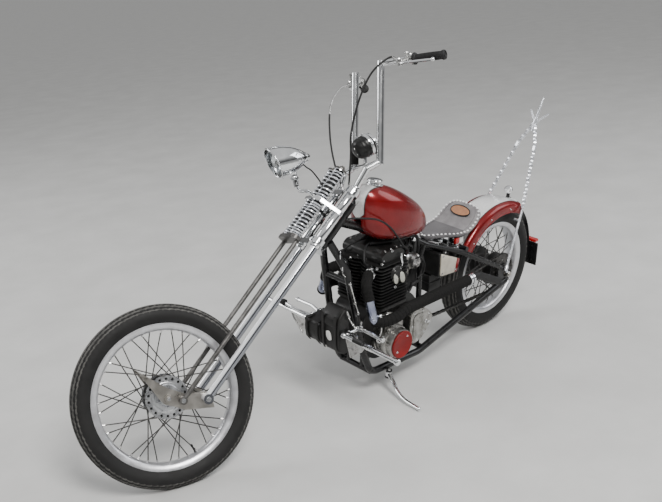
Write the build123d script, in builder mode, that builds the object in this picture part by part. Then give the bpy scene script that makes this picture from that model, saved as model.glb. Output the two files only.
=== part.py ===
from build123d import *
import os
from math import cos, degrees, pi, radians, sin, sqrt

# Chopper motorcycle: rigid frame, springer fork and an open parallel-twin engine, parked on its side stand.
# Sizes are in millimetres and angles in degrees.
# Bike pieces are drawn on the upright bike: +X forward, +Y left, +Z up, origin on the ground under the rear axle.
# Fork pieces are drawn in the fork's frame: +Z up the steering axis, +X forward and square to it, +Y left.
# The last section turns the fork, leans the bike onto its stand and writes the pieces.

# Stance
wheelbase = 1890
lean = 7.5
steering_rest = 30
rake = 50
axle_offset = 160
running_gap = 0.05
cover_gap = 0.3

# Wheels
front_tyre_r = 347
front_tyre_half = 40
front_rim_r = 277.5
front_rim_half = 27
rear_tyre_r = 322
rear_tyre_half = 54
rear_rim_r = 239.5
rear_rim_half = 40
rim_flange = 3
rim_bed_depth = 9.5
rim_depth = 28
spokes_per_side = 20
spoke_side = 3
front_spoke_circle = 62
rear_spoke_circle = 74
front_axle_r = 8.5
rear_axle_r = 10

# Fork, measured along the steering axis and forward of it
rear_leg_x = 42
rear_leg_y = 81
rear_leg_r = 16
rear_leg_foot = 81
leg_top = 1074
front_leg_x = 112
front_leg_y = 71
front_leg_r = 9
front_leg_foot = 24
lower_tree_z = 803
tree_thickness = 24
head_r = 27
stem_r = 12.7
spring_x = 122
spring_y = 36
spring_r = 25
spring_wire = 7
spring_rod_r = 6
lower_spring_turns = 12
upper_spring_turns = 8
yoke_z = 768
yoke_thickness = 16
perch_z = 952
perch_thickness = 14
spring_top_z = 1112
rocker_inner = 50
rocker_thickness = 10

# Handlebar
bar_r = 12.7
bar_base_y = 88
riser_y = 126
grip_r = 16.5
grip_length = 122

# Frame
tube_r = 16
backbone_r = 19
stay_r = 13
cradle_y = 90
cradle_z = 118
axle_plate_y = 126
axle_plate_thickness = 8

# Final drive
chain_y = 92
chain_width = 15
chain_height = 11
front_sprocket_x = 665
front_sprocket_z = 300
front_sprocket_r = 36
rear_sprocket_r = 88
sprocket_thickness = 6

# Engine
case_left = 76
case_right = 108
cylinder_x = 836
cylinder_length = 180
cylinder_half = 132
cylinder_foot = 428
cylinder_fins = 9
fin_pitch = 14.5
fin_thickness = 4
head_fins = 5

front_axle = (axle_offset, 0, 0)
rear_axle = (0, 0, rear_tyre_r)
lower_tree_top = lower_tree_z + tree_thickness
top_tree_z = leg_top - tree_thickness

# The fork's frame on the upright bike
steering_up = Vector(-sin(radians(rake)), 0, cos(radians(rake)))
steering_forward = Vector(cos(radians(rake)), 0, sin(radians(rake)))
steering_origin = Vector(wheelbase, 0, front_tyre_r) - steering_forward * axle_offset
HEAD = Plane(origin=steering_origin, x_dir=steering_forward, z_dir=steering_up)


def head_point(x, y, z):
    """A point of the fork's frame, given on the upright bike."""
    return HEAD.from_local_coords(Vector(x, y, z))


def tube(points, radius, bends=None, transition=Transition.TRANSFORMED):
    """Add a round bar along straight runs, with tangent bends where radii are given."""
    with BuildLine() as path:
        if bends is None:
            Polyline(*points)
        else:
            FilletPolyline(*points, radius=bends)
    with BuildSketch(Plane(origin=path.line @ 0, z_dir=path.line % 0)) as section:
        Circle(radius)
    sweep(sections=section.sketch, path=path.line, transition=transition)


def bar(start, end, radius, sides=0, mode=Mode.ADD):
    """Add a straight round or polygonal bar between two points."""
    run = Vector(*end) - Vector(*start)
    with BuildSketch(Plane(origin=start, z_dir=run)) as section:
        if sides:
            RegularPolygon(radius, sides)
        else:
            Circle(radius)
    extrude(section.sketch, amount=run.length, mode=mode)


def outline(points, plane):
    """A closed face of straight sides."""
    with BuildSketch(plane) as face:
        with BuildLine():
            Polyline(*points, close=True)
        make_face()
    return face.sketch


def turned(points, centre, mode=Mode.ADD):
    """Add a body of revolution about the axle line through centre, from (distance along, radius) points."""
    with BuildSketch(Plane(origin=centre)) as section:
        with BuildLine():
            Polyline(*[(radius, along) for along, radius in points], close=True)
        make_face()
    revolve(section.sketch, axis=Axis(centre, (0, 1, 0)), mode=mode)


def side_plane(y):
    """Plane for outlines drawn in side view, x forward and y up, that extrude to the left."""
    return Plane(origin=(0, y, 0), x_dir=(1, 0, 0), z_dir=(0, -1, 0))


# The parked bike and its side stand, which reaches the ground on the left
def lowest(wheel, tyre_r, half):
    """Height of a tyre's lowest point, from the place of its wheel."""
    centre = wheel.position
    tilt = (wheel * Pos(0, 1, 0)).position.Z - centre.Z
    return centre.Z - (tyre_r - half) * sqrt(1 - tilt * tilt) - half


def parked_place():
    """Place of the bike leaning left, with both tyres on the ground."""
    pitch = 0
    for _ in range(8):
        stance = Rot(0, -pitch, 0) * Rot(-lean, 0, 0)
        rear = stance * Pos(*rear_axle)
        front = stance * HEAD.location * Rot(0, 0, -steering_rest) * Pos(*front_axle)
        drop = lowest(front, front_tyre_r, front_tyre_half) - lowest(rear, rear_tyre_r, rear_tyre_half)
        pitch -= degrees(drop / (front.position.X - rear.position.X))
    return Pos(0, 0, -lowest(rear, rear_tyre_r, rear_tyre_half)) * stance


bike_place = parked_place()
fork_place = bike_place * HEAD.location * Rot(0, 0, -steering_rest)
upright_fork_place = fork_place * HEAD.location.inverse()
stand_pivot = Vector(849, 128, 100)
stand_r = 9
stand_eye = 24
stand_ground = Vector(920, 372, stand_r)
stand_foot = (bike_place.inverse() * Pos(*stand_ground)).position
stand_leg = (stand_foot - stand_pivot).normalized()
stand_bow = Vector(16, 0, -30)
stand_folded = Vector(-0.97, 0.2, -0.1)
stand_axis = stand_leg.cross(stand_folded).normalized()


# Wheels
def make_tyre(centre, tyre_r, half, rim_r, rim_half):
    """Round crown, flat sidewalls and a bead seat on the rim."""
    crown = 80
    section_r = tyre_r - half
    edge_r = section_r + half * cos(radians(crown))
    edge_y = half * sin(radians(crown))
    bead_r = rim_r - rim_bed_depth
    with BuildPart() as tyre:
        with BuildSketch(Plane(origin=centre)):
            with BuildLine():
                ThreePointArc((edge_r, -edge_y), (tyre_r, 0), (edge_r, edge_y))
                Polyline((edge_r, edge_y), (bead_r, rim_half), (bead_r, -rim_half), (edge_r, -edge_y))
            make_face()
        revolve(axis=Axis(centre, (0, 1, 0)))
    return tyre


def make_rim(centre, rim_r, rim_half):
    """Alloy rim with flanges, bead bed and a tapered well."""
    bed_r = rim_r - rim_bed_depth
    well_r = rim_r - rim_depth
    well_half = rim_half - 1.5
    with BuildPart() as rim:
        turned(
            [
                (rim_half + rim_flange, rim_r),
                (rim_half, bed_r),
                (-rim_half, bed_r),
                (-rim_half - rim_flange, rim_r),
                (-well_half, well_r),
                (well_half, well_r),
            ],
            centre,
        )
    return rim


def make_spokes(centre, hub_r, flange_y, rim_r, sweep_angle):
    """Leading and trailing spokes of both flanges, laid one behind the other so that they cross clear."""
    end_r = rim_r - rim_depth + 4
    step = 360 / (spokes_per_side / 2)
    # side of the hub, leading or trailing, place along the axle at the flange and at the rim
    rows = ((1, 1, flange_y + 2.5, 11), (1, -1, flange_y - 2.5, 6), (-1, 1, flange_y + 2.5, 11), (-1, -1, flange_y - 2.5, 6))
    with BuildPart() as spokes:
        for side, way, hub_y, rim_y in rows:
            for i in range(spokes_per_side // 2):
                start = radians(i * step + (side + way * 2) * step / 8)
                end = start + radians(way * sweep_angle)
                near = Vector(*centre) + Vector(hub_r * cos(start), side * hub_y, hub_r * sin(start))
                far = Vector(*centre) + Vector(end_r * cos(end), side * rim_y, end_r * sin(end))
                run = far - near
                with BuildSketch(Plane(origin=near, x_dir=run.cross(Vector(0, 1, 0)), z_dir=run)) as section:
                    Rectangle(spoke_side, spoke_side)
                extrude(section.sketch, amount=run.length)
    return spokes


front_tyre = make_tyre(front_axle, front_tyre_r, front_tyre_half, front_rim_r, front_rim_half)
rear_tyre = make_tyre(rear_axle, rear_tyre_r, rear_tyre_half, rear_rim_r, rear_rim_half)
front_rim = make_rim(front_axle, front_rim_r, front_rim_half)
rear_rim = make_rim(rear_axle, rear_rim_r, rear_rim_half)
front_spokes = make_spokes(front_axle, front_spoke_circle, 34, front_rim_r, 50)
rear_spokes = make_spokes(rear_axle, rear_spoke_circle, 40, rear_rim_r, 45)

with BuildPart() as front_hub:
    front_bore = front_axle_r + running_gap
    hub_end = rocker_inner - 0.5
    turned(
        [
            (-hub_end, front_bore),
            (-hub_end, 20),
            (-40, 22),
            (-38, 46),
            (-38, 68),
            (-30, 68),
            (-30, 36),
            (30, 36),
            (30, 68),
            (38, 68),
            (38, 46),
            (44, 40),
            (46, 22),
            (hub_end, 20),
            (hub_end, front_bore),
        ],
        front_axle,
    )

with BuildPart() as rear_hub:
    rear_bore = rear_axle_r + running_gap
    turned(
        [
            (-92, rear_bore),
            (-92, 24),
            (-80, 28),
            (-78, 84),
            (-44, 86),
            (-36, 82),
            (-36, 42),
            (36, 42),
            (36, 82),
            (44, 82),
            (46, 50),
            (chain_y - sprocket_thickness / 2, 46),
            (chain_y - sprocket_thickness / 2, rear_bore),
        ],
        rear_axle,
    )
    with BuildSketch(Plane(origin=(0, chain_y + sprocket_thickness / 2, rear_tyre_r), x_dir=(1, 0, 0), z_dir=(0, -1, 0))):
        Circle(rear_sprocket_r - chain_height / 2 - 1.5)
        Circle(rear_axle_r + running_gap, mode=Mode.SUBTRACT)
        with PolarLocations(64, 6):
            Circle(11, mode=Mode.SUBTRACT)
    extrude(amount=sprocket_thickness)

# Axles
with BuildPart() as front_axle_bar:
    axle_reach = rocker_inner + rocker_thickness + 14
    bar((axle_offset, -axle_reach, 0), (axle_offset, axle_reach, 0), front_axle_r)
    for side in (1, -1):
        nut = rocker_inner + rocker_thickness
        bar((axle_offset, side * nut, 0), (axle_offset, side * (nut + 10), 0), 15, sides=6)

with BuildPart() as rear_axle_bar:
    plate_outer = axle_plate_y + axle_plate_thickness
    bar((0, -plate_outer - 18, rear_tyre_r), (0, plate_outer + 18, rear_tyre_r), rear_axle_r)
    for side in (1, -1):
        bar((0, side * plate_outer, rear_tyre_r), (0, side * (plate_outer + 12), rear_tyre_r), 16, sides=6)
    bar((0, chain_y + sprocket_thickness / 2 + 1, rear_tyre_r), (0, axle_plate_y, rear_tyre_r), 17)
    bar((0, -axle_plate_y, rear_tyre_r), (0, -93, rear_tyre_r), 17)

# Fork
# Rocker outline in side view: forward of and above the steering frame's origin
rocker_edge = [
    (axle_offset + 153, 14),
    (axle_offset + 28, 27),
    (front_leg_x + 6, front_leg_foot + 24),
    (rear_leg_x + 12, rear_leg_foot + 21),
    (rear_leg_x - 14, rear_leg_foot + 16),
    (rear_leg_x - 48, rear_leg_foot - 10),
    (rear_leg_x - 6, rear_leg_foot - 44),
    (rear_leg_x + 38, rear_leg_foot - 80),
    (front_leg_x + 6, front_leg_foot - 34),
    (axle_offset - 4, -26),
    (axle_offset + 26, -22),
]
with BuildPart() as rockers:
    for start in (rocker_inner + rocker_thickness, -rocker_inner):
        extrude(outline(rocker_edge, side_plane(start)), amount=rocker_thickness)
    with Locations(Location((axle_offset, 0, 0), (90, 0, 0))):
        Hole(front_axle_r)

with BuildPart() as rear_legs:
    eye = rocker_inner + rocker_thickness
    for side in (1, -1):
        bar((rear_leg_x, side * rear_leg_y, rear_leg_foot), (rear_leg_x, side * rear_leg_y, leg_top), rear_leg_r)
        clevis = rear_leg_y + rear_leg_r + 3
        bar((rear_leg_x, side * (eye + cover_gap), rear_leg_foot), (rear_leg_x, side * clevis, rear_leg_foot), 19)

with BuildPart() as front_legs:
    for side in (1, -1):
        bar((front_leg_x, side * front_leg_y, front_leg_foot), (front_leg_x, side * front_leg_y, yoke_z + 4), front_leg_r)
        clevis = front_leg_y + front_leg_r + 3
        bar((front_leg_x, side * (eye + cover_gap), front_leg_foot), (front_leg_x, side * clevis, front_leg_foot), 15)
    with BuildSketch(Plane.XY.offset(yoke_z)):
        with Locations((spring_x, 0)):
            SlotOverall(2 * (front_leg_y + 18), 46, rotation=90)
    extrude(amount=yoke_thickness)
    for side in (1, -1):
        rod_foot = (spring_x, side * spring_y, yoke_z + 4)
        cap_foot = (spring_x, side * spring_y, spring_top_z + cover_gap)
        cap_top = (spring_x, side * spring_y, spring_top_z + 8)
        bar(rod_foot, (spring_x, side * spring_y, spring_top_z + 26), spring_rod_r)
        bar(cap_foot, cap_top, spring_r + 2)
        bar(cap_top, (spring_x, side * spring_y, spring_top_z + 20), 12, sides=6)


# Coil springs side by side, their turns as ridges round a hollow core: bottom, top, turns
spring_rows = (
    (yoke_z + yoke_thickness, perch_z, lower_spring_turns),
    (perch_z + perch_thickness, spring_top_z, upper_spring_turns),
)
with BuildPart() as springs:
    for bottom, top, turns in spring_rows:
        pitch = (top - bottom) / turns
        for side in (1, -1):
            ridge = [(spring_rod_r + 2, bottom)]
            for i in range(turns):
                ridge.append((spring_r - spring_wire, bottom + i * pitch))
                ridge.append((spring_r, bottom + (i + 0.5) * pitch))
            ridge.append((spring_r - spring_wire, top))
            ridge.append((spring_rod_r + 2, top))
            place = Plane(origin=(spring_x, side * spring_y, 0), x_dir=(1, 0, 0), z_dir=(0, -1, 0))
            revolve(outline(ridge, place), axis=Axis((spring_x, side * spring_y, 0), (0, 0, 1)))

with BuildPart() as spring_perch:
    with BuildSketch(Plane.XY.offset(perch_z)):
        with BuildLine():
            Polyline(
                (spring_x + 34, -46),
                (spring_x + 34, 46),
                (spring_x + 8, 76),
                (rear_leg_x, rear_leg_y + 20),
                (rear_leg_x - 18, rear_leg_y + 4),
                (rear_leg_x - 8, rear_leg_y - 18),
                (spring_x - 30, 40),
                (spring_x - 30, -40),
                (rear_leg_x - 8, 18 - rear_leg_y),
                (rear_leg_x - 18, -rear_leg_y - 4),
                (rear_leg_x, -rear_leg_y - 20),
                (spring_x + 8, -76),
                close=True,
            )
        make_face()
        with Locations((spring_x, spring_y), (spring_x, -spring_y)):
            Circle(spring_rod_r + 2, mode=Mode.SUBTRACT)
        with Locations((rear_leg_x, rear_leg_y), (rear_leg_x, -rear_leg_y)):
            Circle(rear_leg_r, mode=Mode.SUBTRACT)
    extrude(amount=perch_thickness)

def tree_face(plane):
    """Outline of a fork tree: round ends at both legs and at the stem."""
    with BuildSketch(plane) as face:
        with Locations((rear_leg_x, rear_leg_y), (rear_leg_x, -rear_leg_y), (0, 0)):
            Circle(head_r + 1)
        with BuildLine():
            Polyline(
                (rear_leg_x + head_r, rear_leg_y),
                (rear_leg_x - 12, rear_leg_y + head_r - 2),
                (-head_r + 2, 10),
                (-head_r + 2, -10),
                (rear_leg_x - 12, 2 - rear_leg_y - head_r),
                (rear_leg_x + head_r, -rear_leg_y),
                (rear_leg_x + 14, 0),
                close=True,
            )
        make_face()
        with Locations((rear_leg_x, rear_leg_y), (rear_leg_x, -rear_leg_y)):
            Circle(rear_leg_r, mode=Mode.SUBTRACT)
    return face.sketch


with BuildPart() as lower_tree:
    extrude(tree_face(Plane.XY.offset(lower_tree_z)), amount=tree_thickness)
    with BuildSketch(Plane.XY.offset(lower_tree_top)):
        Circle(stem_r)
    extrude(amount=top_tree_z - lower_tree_top)

with BuildPart() as top_tree:
    extrude(tree_face(Plane.XY.offset(top_tree_z)), amount=tree_thickness)
    with BuildSketch(Plane.XY.offset(leg_top)):
        RegularPolygon(20, 6)
    extrude(amount=12)
    with Locations((0, 0, leg_top + 12)):
        Sphere(15)

# Headlight, drawn on the upright bike
lamp_x = 1270
lamp_z = 1117
lamp_r = 60
lamp_length = 158
with BuildPart() as headlight_shell:
    with BuildSketch(Plane.XZ):
        with BuildLine():
            Polyline((lamp_x + 26, lamp_z), (lamp_x + 26, lamp_z + lamp_r + 2), (lamp_x - 30, lamp_z + lamp_r))
            ThreePointArc(
                (lamp_x - 30, lamp_z + lamp_r),
                (lamp_x - 105, lamp_z + 0.72 * lamp_r),
                (lamp_x - lamp_length, lamp_z),
            )
            Line((lamp_x - lamp_length, lamp_z), (lamp_x + 26, lamp_z))
        make_face()
    revolve(axis=Axis((lamp_x, 0, lamp_z), (1, 0, 0)))
    with BuildSketch(Plane.XZ):
        with BuildLine():
            Polyline(
                (lamp_x + 24, lamp_z + lamp_r + 10),
                (lamp_x - 20, lamp_z - lamp_r - 10),
                (lamp_x + 60, lamp_z - lamp_r - 10),
                (lamp_x + 60, lamp_z + lamp_r + 10),
                close=True,
            )
        make_face()
    extrude(amount=lamp_r + 10, both=True, mode=Mode.SUBTRACT)
    with Locations(Location((lamp_x - 22, 0, lamp_z), (0, 90, 0))):
        Cylinder(lamp_r - 4, 90, align=(Align.CENTER, Align.CENTER, Align.MIN), mode=Mode.SUBTRACT)
    bar((lamp_x - 72, 0, lamp_z - lamp_r - 36), (lamp_x - 72, 0, lamp_z - lamp_r + 8), 12)
    lamp_foot = head_point(spring_x + 20, 0, perch_z + perch_thickness + 16)
    tube([(lamp_x - 72, 0, lamp_z - lamp_r - 30), (lamp_x - 92, 0, lamp_z - lamp_r - 66), lamp_foot], 7)
    bar(lamp_foot, head_point(spring_x + 20, 0, perch_z + perch_thickness + cover_gap), 8)

with BuildPart() as headlight_lens:
    with Locations(Location((lamp_x - 21.7, 0, lamp_z), (0, 90, 0))):
        Cylinder(lamp_r - 4.3, 7, align=(Align.CENTER, Align.CENTER, Align.MIN))

# Handlebar, drawn on the upright bike
base_point = head_point(rear_leg_x, 0, leg_top + 3.4)
riser_bend = (930, 110, 1020)
elbow = (873, riser_y, 1038)
riser_top = (780, riser_y, 1420)
bar_end = (634, 362, 1382)
grip_run = (Vector(*bar_end) - Vector(*riser_top)).normalized()
with BuildPart() as handlebar:
    for side in (1, -1):
        route = [(base_point.X, bar_base_y, base_point.Z), riser_bend, elbow, riser_top, bar_end]
        tube([(x, side * y, z) for x, y, z in route], bar_r, transition=Transition.RIGHT)
    bar((884, -riser_y, 1034), (884, riser_y, 1034), 9)


def along_grip(side, back):
    """A point on the handlebar, at a distance back from its end."""
    at = Vector(*bar_end) - grip_run * back
    return Vector(at.X, side * at.Y, at.Z)


with BuildPart() as grips:
    for side in (1, -1):
        bar(along_grip(side, grip_length), along_grip(side, -4), grip_r)
        bar(along_grip(side, grip_length + 5), along_grip(side, grip_length), grip_r + 6)
        bar(along_grip(side, 4), along_grip(side, -8), grip_r + 2.5)
        bar(along_grip(side, grip_length + 9), along_grip(side, 0), bar_r + running_gap, mode=Mode.SUBTRACT)

with BuildPart() as levers:
    for side in (1, -1):
        bar(along_grip(side, grip_length + 36), along_grip(side, grip_length + 8), 19)
        perch = along_grip(side, grip_length + 22)
        bar(perch, perch + Vector(54, 0, -7), 9)
        bar(along_grip(side, grip_length + 40), along_grip(side, grip_length + 4), bar_r + running_gap, mode=Mode.SUBTRACT)
        root = perch + Vector(52, 0, -7)
        tip = along_grip(side, 4) + Vector(46, 0, -10)
        tube([root, root + (tip - root) * 0.3 + Vector(6, 0, 0), tip], 5)
        with Locations(tip):
            Sphere(8)

# Instruments, drawn on the upright bike: middle of the dial, left or right, height
gauge_seats = ((868, 42, 1118), (797, -60, 1122))
gauge_tilt = 72
gauge_depth = 70
with BuildPart() as gauges:
    for x, y, z in gauge_seats:
        face = Plane(origin=(x, y, z), x_dir=(0, 1, 0), z_dir=(-sin(radians(gauge_tilt)), 0, cos(radians(gauge_tilt))))
        with BuildSketch(face.offset(-gauge_depth)):
            Circle(24)
        with BuildSketch(face.offset(-gauge_depth + 14)):
            Circle(40)
        loft()
        with BuildSketch(face.offset(-gauge_depth + 14)):
            Circle(44)
        extrude(amount=gauge_depth - 16)
        with BuildSketch(face.offset(-10)):
            Circle(49)
        extrude(amount=10)
    bar((836, -60, 1090), (894, 42, 1090), 8)
    bar((874, 10, 1092), (884, 10, 1034 + 9 + cover_gap), 8)

# Frame
neck_low = head_point(0, 0, lower_tree_top + 4)
neck_high = head_point(0, 0, top_tree_z - 4)
backbone_start = head_point(-10, 0, 960)
downtube_start = head_point(-12, 22, 862)
with BuildPart() as frame:
    bar(neck_low, neck_high, head_r)
    tube([backbone_start, (900, 0, 768), (690, 0, 714), (560, 0, 596)], backbone_r, [120, 100])
    for side in (1, -1):
        cradle = [
            tuple(downtube_start),
            (1062, 66, 640),
            (972, cradle_y, 225),
            (925, cradle_y, cradle_z),
            (625, 108, cradle_z),
            (10, axle_plate_y + 4, 290),
        ]
        tube([(x, side * y, z) for x, y, z in cradle], tube_r, [60, 90, 60, 120])
        stay = [(612, 10, 646), (545, 54, 606), (325, 102, 519), (20, axle_plate_y + 4, 350)]
        tube([(x, side * y, z) for x, y, z in stay], stay_r, [60, 200])
        tube([(556, side * 48, 612), (580, side * 52, 560), (584, side * 62, cradle_z)], stay_r, [60])
        with BuildSketch(side_plane(side * (axle_plate_y + axle_plate_thickness / 2) + axle_plate_thickness / 2)):
            with BuildLine():
                Polyline((-34, 300), (70, 272), (78, 372), (30, 388), (-34, 348), close=True)
            make_face()
            with Locations((0, rear_tyre_r)):
                SlotOverall(60, 2 * rear_axle_r, mode=Mode.SUBTRACT)
        extrude(amount=axle_plate_thickness)
    # cross tubes: distance forward, height, half length, radius
    for x, z, y, r in (
        (584, cradle_z, 110, 13),
        (716, cradle_z, 96, 13),
        (925, cradle_z + 6, cradle_y, 13),
        (304, 530, 104, 12),
        (440, 549.3, 78, 10),
        (490, 594.7, 70, 10),
        (1050, 586, 70, 13),
    ):
        bar((x, -y, z), (x, y, z), r)
    # engine mounts up from the cross tubes
    for x, foot, top in ((716, cradle_z, 152), (925, cradle_z, 180)):
        for side in (1, -1):
            bar((x, side * 40, foot), (x, side * 40, top), 12)
    with BuildSketch(Plane(origin=neck_low, z_dir=steering_up).offset(-20)):
        Circle(stem_r + running_gap)
    extrude(amount=(neck_high - neck_low).length + 40, mode=Mode.SUBTRACT)
    stand_low = stand_pivot - stand_axis * (stand_eye / 2 + 8)
    stand_high = stand_pivot + stand_axis * (stand_eye / 2 + 8)
    bar(stand_low, stand_high, 6)
    bar(stand_low, stand_pivot - stand_axis * (stand_eye / 2 + 0.3), 13)
    bar(stand_high, stand_pivot + stand_axis * (stand_eye / 2 + 0.3), 13)
    bar((849, cradle_y + tube_r - 4, cradle_z), stand_high + Vector(0, 0, 3.5), 6)

# Engine
case_edge = [
    (968, 330),
    (960, 262),
    (905, 168),
    (664, 150),
    (614, 215),
    (610, 330),
    (640, 405),
    (700, 428),
    (915, 428),
    (962, 395),
]
with BuildPart() as crankcase:
    extrude(outline(case_edge, side_plane(case_left)), amount=case_left + case_right)
    bar((690, case_left - 4, 182), (690, 134, 182), 15)
    bar((front_sprocket_x, case_left - 2, front_sprocket_z), (front_sprocket_x, chain_y + 9, front_sprocket_z), 14)
    with BuildSketch(side_plane(chain_y + sprocket_thickness / 2)):
        with Locations((front_sprocket_x, front_sprocket_z)):
            Circle(front_sprocket_r - chain_height / 2 - 0.3)
    extrude(amount=sprocket_thickness)

fin_top = cylinder_foot + cylinder_fins * fin_pitch
head_foot = fin_top + 4
with BuildPart() as cylinders:
    with BuildSketch(Plane.XY.offset(cylinder_foot)):
        with Locations((cylinder_x, 0)):
            Rectangle(cylinder_length - 60, 2 * cylinder_half - 60)
    extrude(amount=head_foot - cylinder_foot)
    for i in range(cylinder_fins):
        with BuildSketch(Plane.XY.offset(cylinder_foot + 6 + i * fin_pitch)) as fin:
            with Locations((cylinder_x, 0)):
                Rectangle(cylinder_length, 2 * cylinder_half)
            chamfer(fin.vertices(), 18)
        extrude(amount=fin_thickness)

head_top = head_foot + head_fins * fin_pitch + 6
with BuildPart() as cylinder_head:
    with BuildSketch(Plane.XY.offset(head_foot)):
        with Locations((cylinder_x, 0)):
            Rectangle(cylinder_length - 40, 2 * cylinder_half - 50)
    extrude(amount=head_top - head_foot)
    for i in range(head_fins):
        with BuildSketch(Plane.XY.offset(head_foot + 4 + i * fin_pitch)) as fin:
            with Locations((cylinder_x, 0)):
                Rectangle(cylinder_length + 6, 2 * cylinder_half + 6)
            chamfer(fin.vertices(), 22)
        extrude(amount=fin_thickness)
    with BuildSketch(Plane.YZ.offset(cylinder_x - 72)):
        with BuildLine():
            Polyline((-118, head_top), (118, head_top), (118, head_top + 14), (94, head_top + 44),
                     (-94, head_top + 44), (-118, head_top + 14), close=True)
        make_face()
    extrude(amount=144)
    for side in (1, -1):
        bar((cylinder_x - 4, side * (cylinder_half - 24), 584), (cylinder_x - 4, side * (cylinder_half + 14), 584), 30)

# Left side covers: the round one over the alternator with its arm, and the pointed one over the sprocket
alternator_x = 832
alternator_z = 261
alternator_r = 76
arm_edge = [(880, 200), (908, 250), (908, 300), (884, 346), (896, 396), (880, 414), (852, 404), (772, 356), (772, 300)]
sprocket_cover_edge = [
    (742, 360),
    (716, 372),
    (650, 368),
    (590, 314),
    (594, 292),
    (662, 216),
    (716, 206),
    (747, 226),
]
with BuildPart() as left_covers:
    with BuildSketch(side_plane(150)):
        with Locations((alternator_x, alternator_z)):
            Circle(alternator_r)
    extrude(amount=150 - case_left - cover_gap)
    extrude(outline(arm_edge, side_plane(132)), amount=132 - case_left - cover_gap)
    with BuildSketch(side_plane(180)):
        with Locations((alternator_x, alternator_z)):
            Circle(alternator_r - 8)
    extrude(amount=31)
    extrude(outline(sprocket_cover_edge, side_plane(152)), amount=152 - case_left - cover_gap)
    with BuildSketch(side_plane(144)):
        with BuildLine():
            Polyline((720, 358), (652, 358), (540, 358), (540, 226), (662, 226), (720, 230), close=True)
        make_face()
    extrude(amount=144 - case_left + 1, mode=Mode.SUBTRACT)

with BuildPart() as alternator_disc:
    with BuildSketch(side_plane(190)):
        with Locations((alternator_x, alternator_z)):
            Circle(63)
    extrude(amount=190 - 180 - cover_gap)

# Right side covers
with BuildPart() as clutch_cover:
    with BuildSketch(side_plane(-case_right - cover_gap)):
        with Locations((735, 275)):
            Circle(92)
        with Locations((855, 290)):
            Circle(70)
        with BuildLine():
            Polyline((735, 367), (855, 360), (855, 220), (735, 183), close=True)
        make_face()
    extrude(amount=48)
    with BuildSketch(side_plane(-case_right - 48)):
        with Locations((735, 275)):
            Circle(74)
    extrude(amount=14)

# Carburettors and their open filters
inlet_x = cylinder_x - cylinder_length / 2 - 3 - cover_gap
with BuildPart() as carburettors:
    for side in (1, -1):
        y = side * 70
        bar((inlet_x, y, 582), (692, y, 582), 24)
        bar((712, y, 512), (712, y, 622), 26)
        bar((694, y, 576), (642, y, 566), 36)


# Exhaust: header, wrapped pipe, clamp and end pipe on the left, its mirror on the right
pipe_y = 200
pipe_z = 440
header_low = 406
header_r = 20
wrapped_r = 26
clamp_r = 24
end_r = 19
port_x = cylinder_x + cylinder_length / 2 + 3 + cover_gap
with BuildPart() as exhaust_pipes:
    for side in (1, -1):
        low = header_low if side == 1 else header_low + 36
        bar((port_x, side * 78, 590), (port_x + 12, side * 78, 590), 25)
        header = [(port_x + 11.5, 78, 590), (998, 112, 574), (986, 160, low), (898, pipe_y, low + 12), (840, pipe_y, pipe_z)]
        tube([(x, side * y, z) for x, y, z in header], header_r, [34, 40, 36])
        bar((842, side * pipe_y, pipe_z), (380, side * pipe_y, pipe_z), header_r)
        tail = [(381, side * pipe_y, pipe_z), (335, side * pipe_y, pipe_z), (168, side * pipe_y, 356)]
        tube(tail, end_r, [70])
        for x in (410, 392):
            bar((x, side * pipe_y, pipe_z), (x - 12, side * pipe_y, pipe_z), clamp_r)

with BuildPart() as exhaust_wraps:
    for side in (1, -1):
        bar((825, side * pipe_y, pipe_z), (413, side * pipe_y, pipe_z), wrapped_r)
        bar((830, side * pipe_y, pipe_z), (408, side * pipe_y, pipe_z), header_r + running_gap, mode=Mode.SUBTRACT)

# Fuel tank: sections as distance forward, bottom, top, half width at the shoulder
tank_sections = (
    (934, 772, 930, 32),
    (896, 736, 956, 80),
    (820, 712, 944, 108),
    (700, 694, 892, 112),
    (600, 678, 826, 86),
    (532, 674, 740, 38),
)
with BuildPart() as tank:
    for x, low, high, half in tank_sections:
        with BuildSketch(Plane.YZ.offset(x)):
            height = high - low
            with BuildLine():
                Line((-0.7 * half, low), (0.7 * half, low))
                ThreePointArc((0.7 * half, low), (half, low + 0.42 * height), (0.62 * half, low + 0.86 * height))
                ThreePointArc((0.62 * half, low + 0.86 * height), (0, high), (-0.62 * half, low + 0.86 * height))
                ThreePointArc((-0.62 * half, low + 0.86 * height), (-half, low + 0.42 * height), (-0.7 * half, low))
            make_face()
    loft()
    with BuildSketch(side_plane(backbone_r + cover_gap)):
        with BuildLine():
            Polyline((960, 840), (960, 640), (460, 640), (460, 690), (640, 732), (900, 796), close=True)
        make_face()
    extrude(amount=2 * (backbone_r + cover_gap), mode=Mode.SUBTRACT)
    bar((842, 0, 930), (835, 0, 972), 31)

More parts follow.
